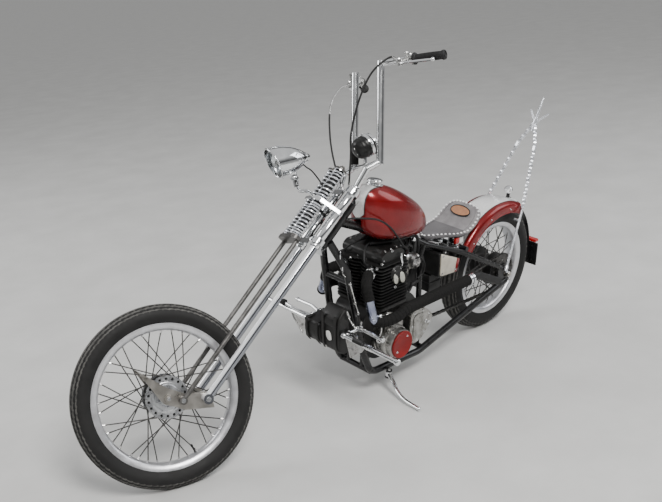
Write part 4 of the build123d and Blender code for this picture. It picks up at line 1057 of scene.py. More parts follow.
spike = [(-304, 0, 958), (-322, 0, 1002), (-344, 0, 1048), (-366, 0, 1092), (-377, 0, 1115)]
add_tube(bm, spike, [6.5, 7.5, 7, 6, 3.5], 14)
add_tube(bm, [(-316, 0, 988), (-328, 0, 1014)], 12, 18)
on_frame("sissy_twisted", bm, bright_bar, ("sissy_bar",), crease=30, slot="chrome")

# Tail: strap, plate holder with its blank plate, and a ribbed lamp
bm = bmesh.new()
band = ((345.7, 22), (349.7, 22), (349.7, -22), (345.7, -22))
skin(bm, [[bm.verts.new(over_wheel(r, y, 110 + 78 * i / 56)) for r, y in band] for i in range(57)])
add_block(bm, (-357, -72, 238), (-349, 72, 362), 2.5)
for y in (-40, 40):
    for z in (340, 262):
        add_bolt(bm, (-349, y, z), AHEAD, 6, 5)
on_frame("plate_holder", bm, frame_black, ("plate",), slot="plate_white")
bm = bmesh.new()
add_block(bm, (-358.2, -68, 242), (-356.8, 68, 358), 0.5)
on_frame("blank_plate", bm, white_plate, slot="plate_white")
bm = bmesh.new()
add_block(bm, (-376, -60, 364.5), (-348, 60, 379.5), 4)
for i in range(13):
    add_block(bm, (-377, -55 + i * 8.8, 367), (-375, -51 + i * 8.8, 377), 0.6)
on_frame("tail_lamp_ribbed", bm, red_lens, ("tail_lamp",), slot="red_lens")


def add_plate(bm, outline, corner, near, far, bevel, segments=2, steps=5):
    """A plate from an outline in x and z with rounded corners, between two values of y."""
    add_prism(bm, round_corners(outline, corner, steps), "xz", near, far, bevel, segments)


def rim_bolts(bm, outline, y, way, across, height, inset, every):
    """Screws just inside an outline in x and z, spaced evenly round it."""
    centre = middle_of(outline)
    for _, _, spot in walk_round([Vector(p) for p in outline], every, every / 2):
        spot = spot + (centre - spot).normalized() * inset
        add_bolt(bm, (spot.x, y, spot.y), LEFT * way, across, height)


def bolt_circle(bm, centre, way, r, count, across, height, first=0):
    """Bolts evenly round a centre, facing along the bike's width or, where way says so, up or down."""
    x, y, z = centre
    for j in range(count):
        angle = radians(first) + 2 * pi * j / count
        over, rise = r * cos(angle), r * sin(angle)
        spot = (x + over, y + rise, z) if way[2] else (x + over, y, z + rise)
        add_bolt(bm, spot, way, across, height)


# Cylinders: thin fins with rounded corners and a notch between the two bores, round a plain core
def fin_outline(length, width, corner, notch):
    x0, x1, y1 = 836 - length / 2, 836 + length / 2, width / 2
    points = [(x0, -y1), (x1, -y1), (x1, -notch - 6), (x1 - notch, -3), (x1 - notch, 3), (x1, notch + 6),
              (x1, y1), (x0, y1), (x0, notch + 6), (x0 + notch, 3), (x0 + notch, -3), (x0, -notch - 6)]
    return round_corners(points, corner)


bm = bmesh.new()
for k in range(9):
    z = 434 + 14.5 * k
    add_prism(bm, fin_outline(180, 264, 20, 14), "xy", z, z + 3.2, 0.8)
for side in (1, -1):
    add_prism(bm, round_corners([(776, side * 12), (896, side * 12), (896, side * 101), (776, side * 101)],
                                30), "xy", 428, 562.4, 0)
for x in (772, 900):
    for y in (-112, -20, 20, 112):
        add_tube(bm, [(x, y, 430), (x, y, 562)], 5.5, 10)
on_frame("cylinder_fins", bm, engine_black, ("cylinders",), crease=30, slot="engine_black")

# Head: deeper fins, a rocker box with bolted lids, spark plugs and round end caps
bm = bmesh.new()
for k in range(5):
    z = 566.5 + 15 * k
    grow = (0, 4, 4, 2, -6)[k]
    add_prism(bm, fin_outline(182 + grow, 264 + grow, 24, 16), "xy", z, z + 3.4, 0.9)
add_prism(bm, round_corners([(770, -112), (902, -112), (902, 112), (770, 112)], 26), "xy", 562.6, 642, 0)
add_plate(bm, [(764, 641), (908, 641), (904, 668), (880, 684), (792, 684), (768, 668)], 8, -116, 116, 5)
for y in (-74, 74):
    for x, tilt in ((772, -1), (900, 1)):
        way = vec(tilt * 0.75, 0, 0.66).normalized()
        foot = vec(836 + tilt * 46, y, 658)
        add_lathe(bm, [(0, 27), (14, 27), (16, 24), (19, 22), (19, 12), (16, 9), (16, 0)], foot, way, 32)
        for turn in turns_of(3):
            spot = foot + way * 13 + (LEFT * cos(turn) + way.cross(LEFT) * sin(turn)) * 23
            add_bolt(bm, spot, way, 6, 5)
for side in (1, -1):
    add_lathe(bm, [(110, 34), (134, 34), (139, 30), (141, 24), (141, 13), (143, 11), (143, 0)],
              (832, 0, 584), LEFT * side, 40)
on_frame("head_finned", bm, engine_black, ("cylinder_head",), crease=30, slot="engine_black")
bright, plug_white, leads = bmesh.new(), bmesh.new(), bmesh.new()
for side in (1, -1):
    bolt_circle(bright, (832, side * 139.5, 584), LEFT * side, 25, 4, 5, 4, 45)
    for x in (776, 896):
        for y in (26, 108):
            add_bolt(bright, (x, side * y, 633), UP, 10, 11)
    for x in (800, 836, 872):
        add_bolt(bright, (x, side * 100, 683), UP, 7, 6)
    way = vec(0.84, side * 0.08, 0.54).normalized()
    seat_spot = vec(906, side * 62, 606)
    add_lathe(plug_white, [(-6, 6), (24, 6), (24, 5), (34, 4.4), (38, 3)], seat_spot, way, 16)
    add_lathe(bright, [(-4, 10), (8, 10), (9, 9), (9, 0)], seat_spot, way, 6)
    cap = seat_spot + way * 22
    add_lathe(leads, [(0, 8), (12, 9), (26, 8), (32, 5)], cap, way, 18)
    lead = [cap + way * 28, cap + way * 42 + vec(0, 0, 12), (930, side * 40, 690), (880, side * 22, 704),
            (800, side * 16, 700)]
    add_hose(leads, lead, 4, 10)
on_frame("head_bolts", bright, polished, slot="chrome")
on_frame("spark_plugs", plug_white, white_plate)
on_frame("plug_leads", leads, rubber)

# Crankcase: the case, sump fins, front lugs, a round front fitting and bolts
case = [(968, 330), (960, 262), (905, 168), (664, 150), (614, 215), (610, 330), (640, 405), (700, 428),
        (915, 428), (962, 395)]
soft_case = round_corners(case, 26, 4)
bm = bmesh.new()
add_prism(bm, soft_case, "xz", -108, 76, 7)
for y in (-74, -40, 8, 42):
    add_plate(bm, [(900, 172), (672, 155), (668, 142), (898, 158)], 5, y - 2, y + 2, 0.8, steps=2)
for y in (-107, -17, 75):
    add_plate(bm, [(960, 388), (976, 380), (976, 352), (966, 342)], 6, y - 6, y + 6, 2, steps=3)
add_prism(bm, round_corners([(746, -131), (926, -131), (926, 131), (746, 131)], 22), "xy", 424, 433, 2)
add_lathe(bm, [(0, 30), (22, 30), (26, 26), (26, 20), (34, 18), (34, 0)], (966, -40, 300), (1, 0, 0.12), 32)
on_frame("crankcase_bolted", bm, engine_black, ("crankcase",), crease=30, slot="engine_black")
bm = bmesh.new()
for x, z in ((952, 372), (954, 300), (925, 222), (868, 172), (790, 164), (700, 162)):
    for y in (-96, -20, 62):
        outward = vec(x - 790, 0, z - 300).normalized()
        add_bolt(bm, vec(x, y, z) + outward * 2, outward, 6, 6)
on_frame("crankcase_bolts", bm, polished, slot="chrome")

# Left covers, polished: alternator, sprocket cover, the front arm and their screws
shaft = (832, 0, 261)
arm = [(880, 200), (908, 250), (908, 300), (884, 346), (896, 396), (880, 414), (852, 404), (772, 356),
       (772, 300)]
sprocket = [(742, 360), (716, 372), (650, 368), (590, 314), (594, 292), (662, 216), (716, 206), (747, 226)]
bm = bmesh.new()
add_lathe(bm, [(76, 0), (76, 76), (92, 76), (94, 73), (108, 73), (110, 76), (142, 76), (148, 73), (150, 69),
               (173, 67), (178, 65), (180, 61), (180, 0)], shaft, LEFT, 96)
add_plate(bm, arm, 22, 76.1, 132, 7, 3)
add_plate(bm, sprocket, 24, 100, 152, 8, 3)
add_prism(bm, round_corners([(724, 340), (690, 352), (640, 338), (616, 308), (624, 292), (672, 240),
                             (724, 236)], 20, 4), "xz", 150, 155.5, 2.5)
add_lathe(bm, [(0, 13), (10, 13), (14, 10), (16, 0)], (880, 128, 398), LEFT, 24)
on_frame("left_covers_polished", bm, aluminium, ("left_covers",), crease=32, slot="aluminium")
bm = bmesh.new()
rim_bolts(bm, round_corners(sprocket, 24, 5), 152, 1, 6, 5, 12, 62)
rim_bolts(bm, round_corners(arm, 22, 5), 131.5, 1, 6, 5, 13, 74)
bolt_circle(bm, (832, 180.2, 261), LEFT, 58, 3, 5, 4, 35)
add_bolt(bm, (640, 154, 296), LEFT, 12, 12)
add_lathe(bm, [(0, 15), (9, 15), (12, 12), (12, 5), (13, 0)], (760, 132, 250), LEFT, 6)
# Chrome lever with a ball end above the arm, and a small lug behind the disc
add_hose(bm, [(961, 168, 436), (926, 168, 409), (896, 160, 386)], 7, 16, 6)
add_ball(bm, (962, 168, 437), 10)
add_tube(bm, [(896, 132, 386), (896, 168, 386)], 6.5, 14)
on_frame("cover_screws", bm, chrome, slot="chrome")
bm = bmesh.new()
lug = round_corners([(752, 262), (798, 270), (792, 240), (766, 236)], 12, 4)
add_prism(bm, [(x - 8, z - 6) for x, z in lug], "xz", 152, 160, 2)
on_frame("cover_lug", bm, white_plate)
bm = bmesh.new()
add_lathe(bm, [(180.3, 0), (180.3, 61), (182, 63), (187, 63), (189.3, 61), (190, 57), (189, 54), (189, 0)],
          shaft, LEFT, 72)
on_frame("alternator_lid", bm, lid_red, ("alternator_disc",), crease=30, slot="red_metal")
bm = bmesh.new()
for x, z in ((868, 238), (806, 296)):
    add_bolt(bm, (x, 189.2, z), LEFT, 6, 4)
on_frame("lid_bolts", bm, chrome)

# Clutch cover on the right, with screws, an oil plug and an inspection cap
bm = bmesh.new()
hull = []
for turn in turns_of(72):
    ray = vec(cos(turn), sin(turn))
    reach = max(ray.dot(vec(735, 275)) + 92, ray.dot(vec(855, 290)) + 70)
    hull.append((ray, reach))
clutch_edge = []
for (ray, reach), (ray_b, reach_b) in zip(hull, hull[1:] + hull[:1]):
    det = ray.x * ray_b.y - ray.y * ray_b.x
    clutch_edge.append(((reach * ray_b.y - ray.y * reach_b) / det,
                        (ray.x * reach_b - reach * ray_b.x) / det))
add_prism(bm, clutch_edge, "xz", -108.3, -118, 1.5)
add_prism(bm, [(x + (790 - x) * 0.05, z + (281 - z) * 0.07) for x, z in clutch_edge], "xz", -117, -156.3, 9,
          3)
add_lathe(bm, [(150, 76), (164, 75), (169, 70), (170, 62), (167, 58), (167, 30), (170, 28), (170, 0)],
          (735, 0, 275), -LEFT, 72)
add_lathe(bm, [(150, 34), (160, 33), (163, 28), (163, 0)], (862, 0, 292), -LEFT, 48)
on_frame("clutch_cover_polished", bm, polished, ("clutch_cover",), crease=32, slot="aluminium")
bm = bmesh.new()
rim_bolts(bm, clutch_edge, -118, -1, 6, 6, 8, 46)
bolt_circle(bm, (735, -167, 275), -LEFT, 44, 5, 6, 5)
on_frame("clutch_screws", bm, chrome, slot="chrome")

# Carburettors: bowl and its plug, barrel, chrome dome, rubber inlet, pleated filter and hoses
body_bm, dome_bm, hose_bm, filter_bm = bmesh.new(), bmesh.new(), bmesh.new(), bmesh.new()
for side in (1, -1):
    y = side * 70
    add_lathe(hose_bm, [(0, 24), (6, 24), (8, 22), (40, 22), (42, 24), (50, 24), (51, 0)], (742.6, y, 582),
              -AHEAD, 32)
    add_lathe(body_bm, [(0, 0), (0, 16), (4, 22), (26, 23), (28, 25.8), (34, 25.8), (36, 22), (86, 22),
                        (90, 26), (97, 26)], (712, y, 513), UP, 36)
    add_lathe(body_bm, [(-24, 21), (22, 21)], (712, y, 574), AHEAD, 32)
    add_block(body_bm, (696, y - 18, 524), (728, y + 18, 548), 3)
    add_lathe(dome_bm, [(0, 26), (4, 26), (6, 24), (9, 22), (11.5, 12), (12, 0)], (712, y, 610), UP, 36)
    add_disc(dome_bm, (712, y, 508), UP, 9, 6, 1.5, 6)
    bolt_circle(dome_bm, (712, y, 612), UP, 22, 4, 4, 4, 45)
    rear = vec(-52, 0, -10).normalized()
    pleats = [(0, 0), (0, 27), (2, 30)]
    for j in range(9):
        pleats += [(3 + j * 4.9, 35.5), (5.4 + j * 4.9, 31)]
    pleats += [(47, 34), (49, 36), (52, 36), (53, 33), (53, 0)]
    add_lathe(filter_bm, pleats, (694, y, 576), rear, 40)
add_hose(hose_bm, [(712, 46, 528), (706, 20, 516), (706, -20, 516), (712, -46, 528)], 5, 12, 6)
for route in (
    [(700, 84, 545), (668, 96, 588), (636, 98, 585), (604, 96, 552), (596, 92, 519), (603, 88, 492),
     (630, 84, 478)],
    [(712, 92, 530), (728, 98, 500), (742, 98, 466), (716, 98, 438), (686, 96, 450), (678, 92, 480)],
    [(736, 40, 640), (720, 60, 650), (690, 66, 642), (650, 40, 655), (640, 20, 668)],
):
    add_hose(hose_bm, route, 4.5, 12)
on_frame("carb_bodies", body_bm, aluminium, ("carburettors",), crease=32, slot="aluminium")
on_frame("carb_domes", dome_bm, chrome, slot="chrome")
on_frame("carb_hoses", hose_bm, rubber, slot="black_rubber")
on_frame("pod_filters", filter_bm, dull_chrome, slot="chrome")

# Coils and loom under the tank, rear mount plates and breather hoses behind the cylinders
bm = bmesh.new()
for y in (-44, 44):
    add_lathe(bm, [(0, 0), (0, 15), (4, 17), (92, 17), (96, 15), (96, 9), (112, 8), (112, 0)], (690, y, 705),
              (1, 0, -0.02), 24)
    for x in (716, 764):
        add_block(bm, (x, y - 19, 700), (x + 8, y + 19, 728), 1)
add_block(bm, (652, -22, 630), (738, 22, 706), 5)
add_block(bm, (744, -20, 684), (814, 20, 708), 4)
for side in (1, -1):
    add_plate(bm, [(700, 428), (640, 405), (604, 440), (592, 505), (612, 548), (636, 520), (664, 470)], 12,
              side * 44, side * 50, 1, steps=4)
for route in (
    [(880, 24, 700), (800, 52, 694), (700, 60, 688), (620, 52, 672), (590, 46, 620), (584, 40, 560),
     (560, 36, 500)],
    [(870, -30, 700), (800, -58, 694), (700, -62, 688), (622, -50, 670), (590, -30, 600)],
    [(650, 20, 430), (636, 40, 480), (644, 60, 540), (632, 60, 600), (610, 44, 650)],
    [(672, 66, 430), (650, 76, 452), (612, 78, 470), (580, 70, 520), (570, 56, 560)],
    [(668, -30, 430), (620, -20, 470), (604, 10, 530), (608, 20, 600)],
):
    add_hose(bm, route, 7.5, 12)
on_frame("coils_and_hoses", bm, rubber, slot="black_rubber")

# Light oval pipe covers and small bright fittings on the left of the engine
bm = bmesh.new()
for x, z, length, width in ((842, 560, 26, 12), (800, 557, 29, 14)):
    way = vec(0.32, 0, 0.95).normalized()
    tilt = vec(way.z, 0, -way.x)
    ring = [tuple(vec(x, z) + vec(way.x, way.z) * length * sin(t) + vec(tilt.x, tilt.z) * width * cos(t))
            for t in turns_of(36)]
    add_prism(bm, ring, "xz", 133, 143, 4, 3)
on_frame("oval_covers", bm, light_alloy)
bm = bmesh.new()
add_hose(bm, [(793, 122, 660), (796, 126, 640), (790, 128, 612), (792, 122, 596)], 5, 12, 5)
for x, y, z in ((846, 118, 684), (960, 100, 470), (839, 136, 522), (931, 112, 626), (894, 112, 650)):
    add_bolt(bm, (x, y, z), (0.3, 0.9, 0.3), 8, 8)
for centre in (vec(1091, 56, 716), vec(1079, 58, 660)):
    ring = [centre + vec(8 * cos(t), 7 * cos(t), 17 * sin(t)) for t in turns_of(24)]
    add_tube(bm, ring, 2.2, 8, closed=True)
on_frame("bright_fittings", bm, chrome, slot="chrome")


# Exhausts: flanged headers sweeping down and back, wrapped runs, clamps and hollow turned-up tails
def hollow_tube(bm, points, outer, wall):
    """A tube with an open mouth at its far end."""
    line = [Vector(p) for p in points]
    inward = (line[-2] - line[-1]).normalized()
    mouth = [line[-1], line[-1] + inward * 0.6, line[-1] + inward * 45]
    radii = [outer] * (len(line) - 1) + [outer - 0.6, outer - wall, outer - wall - 0.2, outer - wall - 0.4]
    add_tube(bm, line + mouth, radii, 28)


RUN_Y, RUN_Z = 200, 440
pipes, tails, clamps, wraps = bmesh.new(), bmesh.new(), bmesh.new(), bmesh.new()
header_of = {}
for side, low in ((1, 406), (-1, 442)):
    out = side * RUN_Y
    route = [(929.5, side * 78, 590), (940.8, side * 78, 590), (998, side * 112, 574),
             (986, side * 160, low), (898, out, low + 12), (840, out, RUN_Z), (815, out, RUN_Z)]
    line = header_of[side] = bent_path(route, (30, 38, 40, 40, 24), 7)
    add_tube(pipes, line, 19.8, 32)
    add_tube(pipes, [(820, out, RUN_Z), (376, out, RUN_Z)], 19.8, 32)
    tail = bent_path([(381, out, RUN_Z), (335, out, RUN_Z), (168, out, 356)], 70, 8)
    hollow_tube(tails, tail, 19, 2)
    add_lathe(clamps, [(0, 25), (2, 27), (7, 27), (9, 25), (9, 20), (13, 20)], (929.4, side * 78, 590),
              AHEAD, 32)
    for up in (1, -1):
        add_bolt(clamps, (936, side * 78 + 8, 590 + up * 30), AHEAD, 7, 12)
        add_block(clamps, (930, side * 78, 584 + up * 28), (937, side * 78 + 16, 596 + up * 28), 2)
    for x in (410, 392):
        add_lathe(clamps, [(0, 21), (0, 24), (12, 24), (12, 21)], (x, out, RUN_Z), -AHEAD, 36)
        add_block(clamps, (x - 12, side * 198 - 3, 416), (x, side * 202 + 3, 408), 1)
        add_bolt(clamps, (x - 6, side * 206, 412), LEFT * side, 6, 6)
    add_tube(wraps, [(826, out, RUN_Z), (413, out, RUN_Z)], 23.2, 32)
    turn_rings = []
    for i in range(521):
        x, ring = 824 - 410 * i / 520, []
        for k, turn in enumerate(turns_of(28)):
            spot = ((x - 824) / 21 + k / 28) % 1
            r = 23.4 + (1.9 * min(1, spot * 9) * (1 - 0.35 * spot) + 0.35 * sin(x * 0.9 + k * 2.1))
            ring.append(wraps.verts.new((x, out + r * cos(turn), RUN_Z + r * sin(turn))))
        turn_rings.append(ring)
    skin(wraps, turn_rings)
header_cloth = bmesh.new()
for side in (1, -1):
    line = header_of[side]
    upper = line[4:17] + [line[16].lerp(line[17], 0.36)]
    lower = line[20:]
    for run, thick in ((upper, 23.5), (lower, 24.5)):
        steps = []
        for a, b in zip(run, run[1:]):
            pieces = max(1, int((b - a).length / 1.6))
            steps += [a.lerp(b, k / pieces) for k in range(pieces)]
        steps.append(run[-1])
        walk, radii = 0.0, []
        for i, p in enumerate(steps):
            walk += (p - steps[max(i - 1, 0)]).length
            radii.append(thick - 1.2 + 1.9 * (1 - (walk / 17) % 1))
        add_tube(header_cloth, steps, radii, 24)
on_frame("header_wraps", header_cloth, wrap_cloth, crease=70, slot="wrap")
on_frame("header_pipes", pipes, blued, ("exhaust_pipes",), crease=40, slot="chrome")
on_frame("tail_pipes", tails, rubber, slot="chrome")
on_frame("pipe_clamps", clamps, chrome, slot="chrome")
on_frame("wrapped_runs", wraps, wrap_cloth, ("exhaust_wraps",), crease=70, slot="wrap")

# Rear hub: dark drum on the right, drilled sprocket with real teeth on the left
bm = bmesh.new()
add_lathe(bm, [(-91.9, 10.2), (-91.9, 24), (-80, 28), (-79, 60), (-82, 66), (-82, 76), (-78, 84), (-60, 86),
               (-58, 84), (-50, 84), (-48, 86), (-44, 86), (-36, 82), (-36, 44), (-30, 40), (30, 40),
               (36, 44), (36, 82), (39, 83.5), (42, 83.5), (44, 80), (46, 50), (80, 46), (88, 46),
               (88, 10.2)], rear_axle, LEFT, 72)
piece("rear_hub_drum", bm, BIKE, engine_black, "rear_wheel", ("rear_hub",), crease=32, slot="aluminium")
bm = bmesh.new()
teeth = []
for k in range(42):
    for share, r in ((0.0, 80.5), (0.28, 81.5), (0.42, 85.5), (0.58, 85.5), (0.72, 81.5)):
        angle = 2 * pi * (k + share) / 42
        teeth.append((r * cos(angle), REAR_R + r * sin(angle)))
inner_ring = [(70 * cos(t), REAR_R + 70 * sin(t)) for t in turns_of(210)]
rings = [[bm.verts.new((x, y, z)) for x, z in line]
         for line, y in ((teeth, 95.2), (teeth, 88.8), (inner_ring, 88.8), (inner_ring, 95.2))]
skin(bm, rings + rings[:1], ends=False)
drilled_flange(bm, rear_axle, 95, 70, 46, 6, 12, 58, 6.5)
add_lathe(bm, [(89, 47), (95, 47), (97, 44), (97, 10.3)], rear_axle, LEFT, 48)
bolt_circle(bm, (0, 96.8, REAR_R), LEFT, 34, 6, 10, 6)
piece("rear_sprocket", bm, BIKE, sprocket_steel, "rear_wheel", slot="steel")
bm = bmesh.new()
for side in (1, -1):
    add_bolt(bm, (0, side * 146.5, REAR_R), LEFT * side, 17, 4)
on_frame("axle_nuts", bm, chrome, slot="steel")


# Chain: alternate inner and outer links round both sprockets
def chain_loop():
    """One evenly spaced point for each link, round the two sprockets."""
    front, rear, front_r, rear_r = vec(665, 300), vec(0, REAR_R), 36, 88
    gap = front - rear
    lean_of = atan2(gap.y, gap.x)
    open_angle = atan2(sqrt(gap.length ** 2 - (rear_r - front_r) ** 2), rear_r - front_r)
    top, bottom = lean_of + open_angle, lean_of - open_angle
    path = []
    for step in range(41):
        angle = top + (2 * pi - 2 * open_angle) * step / 40
        path.append(rear + vec(cos(angle), sin(angle)) * rear_r)
    for step in range(21):
        angle = bottom + 2 * open_angle * step / 20
        path.append(front + vec(cos(angle), sin(angle)) * front_r)
    total = sum((b - a).length for a, b in zip(path, path[1:] + path[:1]))
    count = int(total / 15.875 / 2) * 2
    return [spot for _, _, spot in walk_round(path, total / count)][:count]


bm = bmesh.new()
spots = chain_loop()
for i, spot in enumerate(spots):
    ahead_spot = spots[(i + 1) % len(spots)]
    way = (ahead_spot - spot).normalized()
    over = vec(-way.y, way.x)
    link_edge = []
    for centre, turn in ((ahead_spot, 0), (spot, pi)):
        for k in range(7):
            angle = turn - pi / 2 + pi * k / 6
            link_edge.append(tuple(centre + (way * cos(angle) + over * sin(angle)) * 5.3))
    levels = ((84.6, 86.4), (97.6, 99.4)) if i % 2 else ((86.8, 88.4), (95.6, 97.2))
    for low, high in levels:
        add_prism(bm, link_edge, "xz", low, high, 0)
    add_tube(bm, [(spot.x, 84.5, spot.y), (spot.x, 99.5, spot.y)], 2.6, 8)
    add_tube(bm, [(spot.x, 88.4, spot.y), (spot.x, 95.6, spot.y)], 4.4, 10)
on_frame("chain_links", bm, sprocket_steel, ("chain",), crease=35, slot="steel")


# Leather tool bags: stitched soft shells with a flap, straps, buckles and a pale boss
def soft_bag(name, edge, near, far, stands_for=()):
    """A stitched bag: two panels and a gusset, pressed outwards in the middle."""
    shape = round_corners(edge, 24, 4)
    centre = middle_of(shape)
    bm = bmesh.new()
    levels = [(near, 0.9), (near + (far - near) * 0.04, 0.985), (near + (far - near) * 0.1, 1.0),
              (near + (far - near) * 0.35, 0.985), (near + (far - near) * 0.65, 0.985),
              (near + (far - near) * 0.9, 1.0), (near + (far - near) * 0.96, 0.985), (far, 0.9)]

    def ring_at(y, share):
        spots = [centre + (Vector(p) - centre) * share for p in shape]
        return [bm.verts.new((spot.x, y, spot.y)) for spot in spots]

    rings = [ring_at(y, share) for y, share in levels]
    count = len(shape)
    skin(bm, rings, ends=False)
    for ring, y, out in ((rings[0], near, -1.5), (rings[-1], far, 1.5)):
        inner = ring_at(y + out * 0.7, 0.5)
        middle = bm.verts.new((centre.x, y + out, centre.y))
        skin(bm, [ring, inner], ends=False)
        for k in range(count):
            bm.faces.new((inner[k], inner[(k + 1) % count], middle))
    made = on_frame(name, bm, leather_black, stands_for, crease=75, slot="brown_leather")
    rounded(made)


left_edge = [(1072, 470), (1098, 494), (1143, 451), (1143, 332), (1127, 290), (1084, 278), (1072, 293)]
right_edge = [(1050, 404), (1070, 404), (1143, 398), (1143, 330), (1123, 292), (1083, 285), (1051, 311)]
soft_bag("left_bag_leather", left_edge, 4, 101, ("bags",))
soft_bag("right_bag_leather", right_edge, -4, -101)


def leather_strip(bm, points, normal, width, thickness):
    """A flat strap along points, lying across a normal."""
    line = [Vector(p) for p in points]
    up = Vector(normal).normalized()
    rings = []
    for point, way in zip(line, ways_along(line)):
        lift = (up - way * up.dot(way)).normalized()
        side = way.cross(lift)
        rings.append([bm.verts.new(point + side * a * width / 2 + lift * b) for a, b in
                      ((-1, 0), (1, 0), (1, thickness), (-1, thickness))])
    skin(bm, rings)


flap, thread, bright = bmesh.new(), bmesh.new(), bmesh.new()
flap_rows = [(1074, 476), (1096, 497.5), (1120, 478), (1144.5, 454.5), (1147, 430), (1147.5, 424)]
rings = []
for x, z in flap_rows:
    rings.append([flap.verts.new((x + (1.5 if 20 < y < 86 else 0), y,
                                  z - (7 * sin(pi * (y - 2) / 101) if z < 425 else 0)))
                  for y in range(2, 106, 13)])
skin(flap, rings, closed=False, ends=False)
flap_made = on_frame("bag_flap", flap, leather_black, crease=60, slot="brown_leather")
thick = flap_made.modifiers.new("thick", "SOLIDIFY")
thick.thickness = 0.0024
thick.offset = 0
rounded(flap_made)
straps = bmesh.new()
for y in (17, 88):
    leather_strip(straps, [(1148.3, y, 470), (1149.5, y, 440), (1149, y, 400), (1146.5, y, 350),
                           (1142, y, 318), (1130, y, 294)], AHEAD, 13, 2.2)
for y in (-22, -84):
    leather_strip(straps, [(1100, y, 404.5), (1143.5, y, 401), (1147, y, 395), (1147, y, 350),
                           (1141, y, 316), (1124, y, 293)], (1, 0, 0.2), 13, 2.2)
for low, high in (((1132, 8, 293), (1137, 11, 308)), ((1132, 23, 293), (1137, 26, 308)),
                  ((1132, 8, 305), (1138, 26, 308)), ((1130, 8, 292), (1136, 26, 295))):
    add_block(bright, low, high, 1)
for k in range(9):
    add_tube(thread, [(1148, 8 + k * 11, 428.5 - 6 * sin(pi * (k + 0.5) / 9)),
                      (1148, 15 + k * 11, 428.5 - 6 * sin(pi * (k + 1) / 9))], 0.8, 5)
for edge, y in ((left_edge, 103.5), (right_edge, -103.5)):
    shape = round_corners(edge, 24, 4)
    mid = vec(1106, 360)
    inset = [Vector(p) + (mid - Vector(p)).normalized() * 9 for p in shape]
    for a, b in zip(inset, inset[1:] + inset[:1]):
        pieces = max(1, int((b - a).length / 7))
        for k in range(pieces):
            p, q = a.lerp(b, (k + 0.15) / pieces), a.lerp(b, (k + 0.75) / pieces)
            add_tube(thread, [(p.x, y, p.y), (q.x, y, q.y)], 0.8, 5)
on_frame("bag_straps", straps, leather_black, slot="brown_leather")
on_frame("bag_stitching", thread, rubber)
boss = round_corners([(34, 386), (52, 390), (62, 376), (66, 352), (50, 346), (36, 362)], 6, 3)
rings = [[bright.verts.new((x, 49 + (y - 49) * share, 369 + (z - 369) * share)) for y, z in boss]
         for x, share in ((1144, 1.0), (1147.5, 1.0), (1149.5, 0.84), (1150.5, 0.45))]
skin(bright, rings, ends=False)
bright.faces.new(rings[-1])
on_frame("bag_metal", bright, white_plate, slot="chrome")

# Highway pegs: ribbed bars with end knobs, a guard, a second bar, the brake pedal and the shift lever
bm = bmesh.new()
peg_rubber = bmesh.new()
for side in (1, -1):
    inner, outer = vec(1122, side * 112, 384), vec(1106.6, side * 389, 371.5)
    add_tube(bm, [inner, outer], 10.2, 28)
    add_lathe(bm, [(0, 10.4), (3, 13.5), (16, 13.5), (19, 11), (20, 0)],
              outer - (outer - inner).normalized() * 4, outer - inner, 28)
    add_lathe(bm, [(-6, 8), (-4, 12.5), (8, 12.5), (11, 10.4)], inner, outer - inner, 28)
    for t in (0.46, 0.5, 0.54):
        add_lathe(bm, [(0, 10.3), (1, 11.8), (5, 11.8), (6, 10.3)], inner.lerp(outer, t), outer - inner, 28)
    add_tube(bm, [(1018, side * 113, 384), (1122, side * 113, 384)], 8.2, 20)
    add_hose(bm, [(1008, side * 100, 384), (1018, side * 113, 384), (1032, side * 113, 384)], 9, 18, 4)
    add_tube(bm, [(1050, side * 116, 389), (1044, side * 158, 396), (1040, side * 250, 389)], 8, 20)
    add_lathe(bm, [(0, 8), (2, 10.5), (10, 10.5), (12, 0)], (1040, side * 250, 389), LEFT * side, 20)
    for x in (1040, 1092):
        add_bolt(bm, (x, side * 113, 392), UP, 7, 6)
add_hose(bm, [(1100, -108, 388), (1128, -170, 405), (1128, -240, 408)], 6, 16)
add_hose(bm, [(1100, 108, 388), (1116, 178, 408), (1150, 205, 408)], 6, 16)
add_prism(peg_rubber, round_corners([(1114, 398), (1142, 398), (1142, 418), (1114, 418)], 5, 3), "xz", -240,
          -288, 2)
add_lathe(peg_rubber, [(0, 0), (0, 11)] + [(3 + k * 2.6, 11 - (k % 2) * 1.6) for k in range(18)]
          + [(52, 10), (52, 0)], (1150, 198, 408), LEFT, 20)
on_frame("peg_bars", bm, chrome, ("foot_pegs",), crease=35, slot="chrome")
on_frame("pedal_rubbers", peg_rubber, rubber, slot="black_rubber")
bm = bmesh.new()
for side in (1, -1):
    corners = [vec(1113, side * 116, 374), vec(1112, side * 146, 292), vec(1109, side * 205, 342),
               vec(1109, side * 222, 369)]
    front, back = ([bm.verts.new(c - vec(depth, 0, 0)) for c in corners] for depth in (0, 2.5))
    skin(bm, [front, back], ends=False)
    bm.faces.new(front)
    bm.faces.new(back[::-1])
    for a, b in zip(corners, corners[1:]):
        add_tube(bm, [a, b], 3.4, 10)
    add_bolt(bm, vec(1114, side * 150, 330), AHEAD, 8, 5)
on_frame("peg_guards", bm, dull_chrome, slot="chrome")

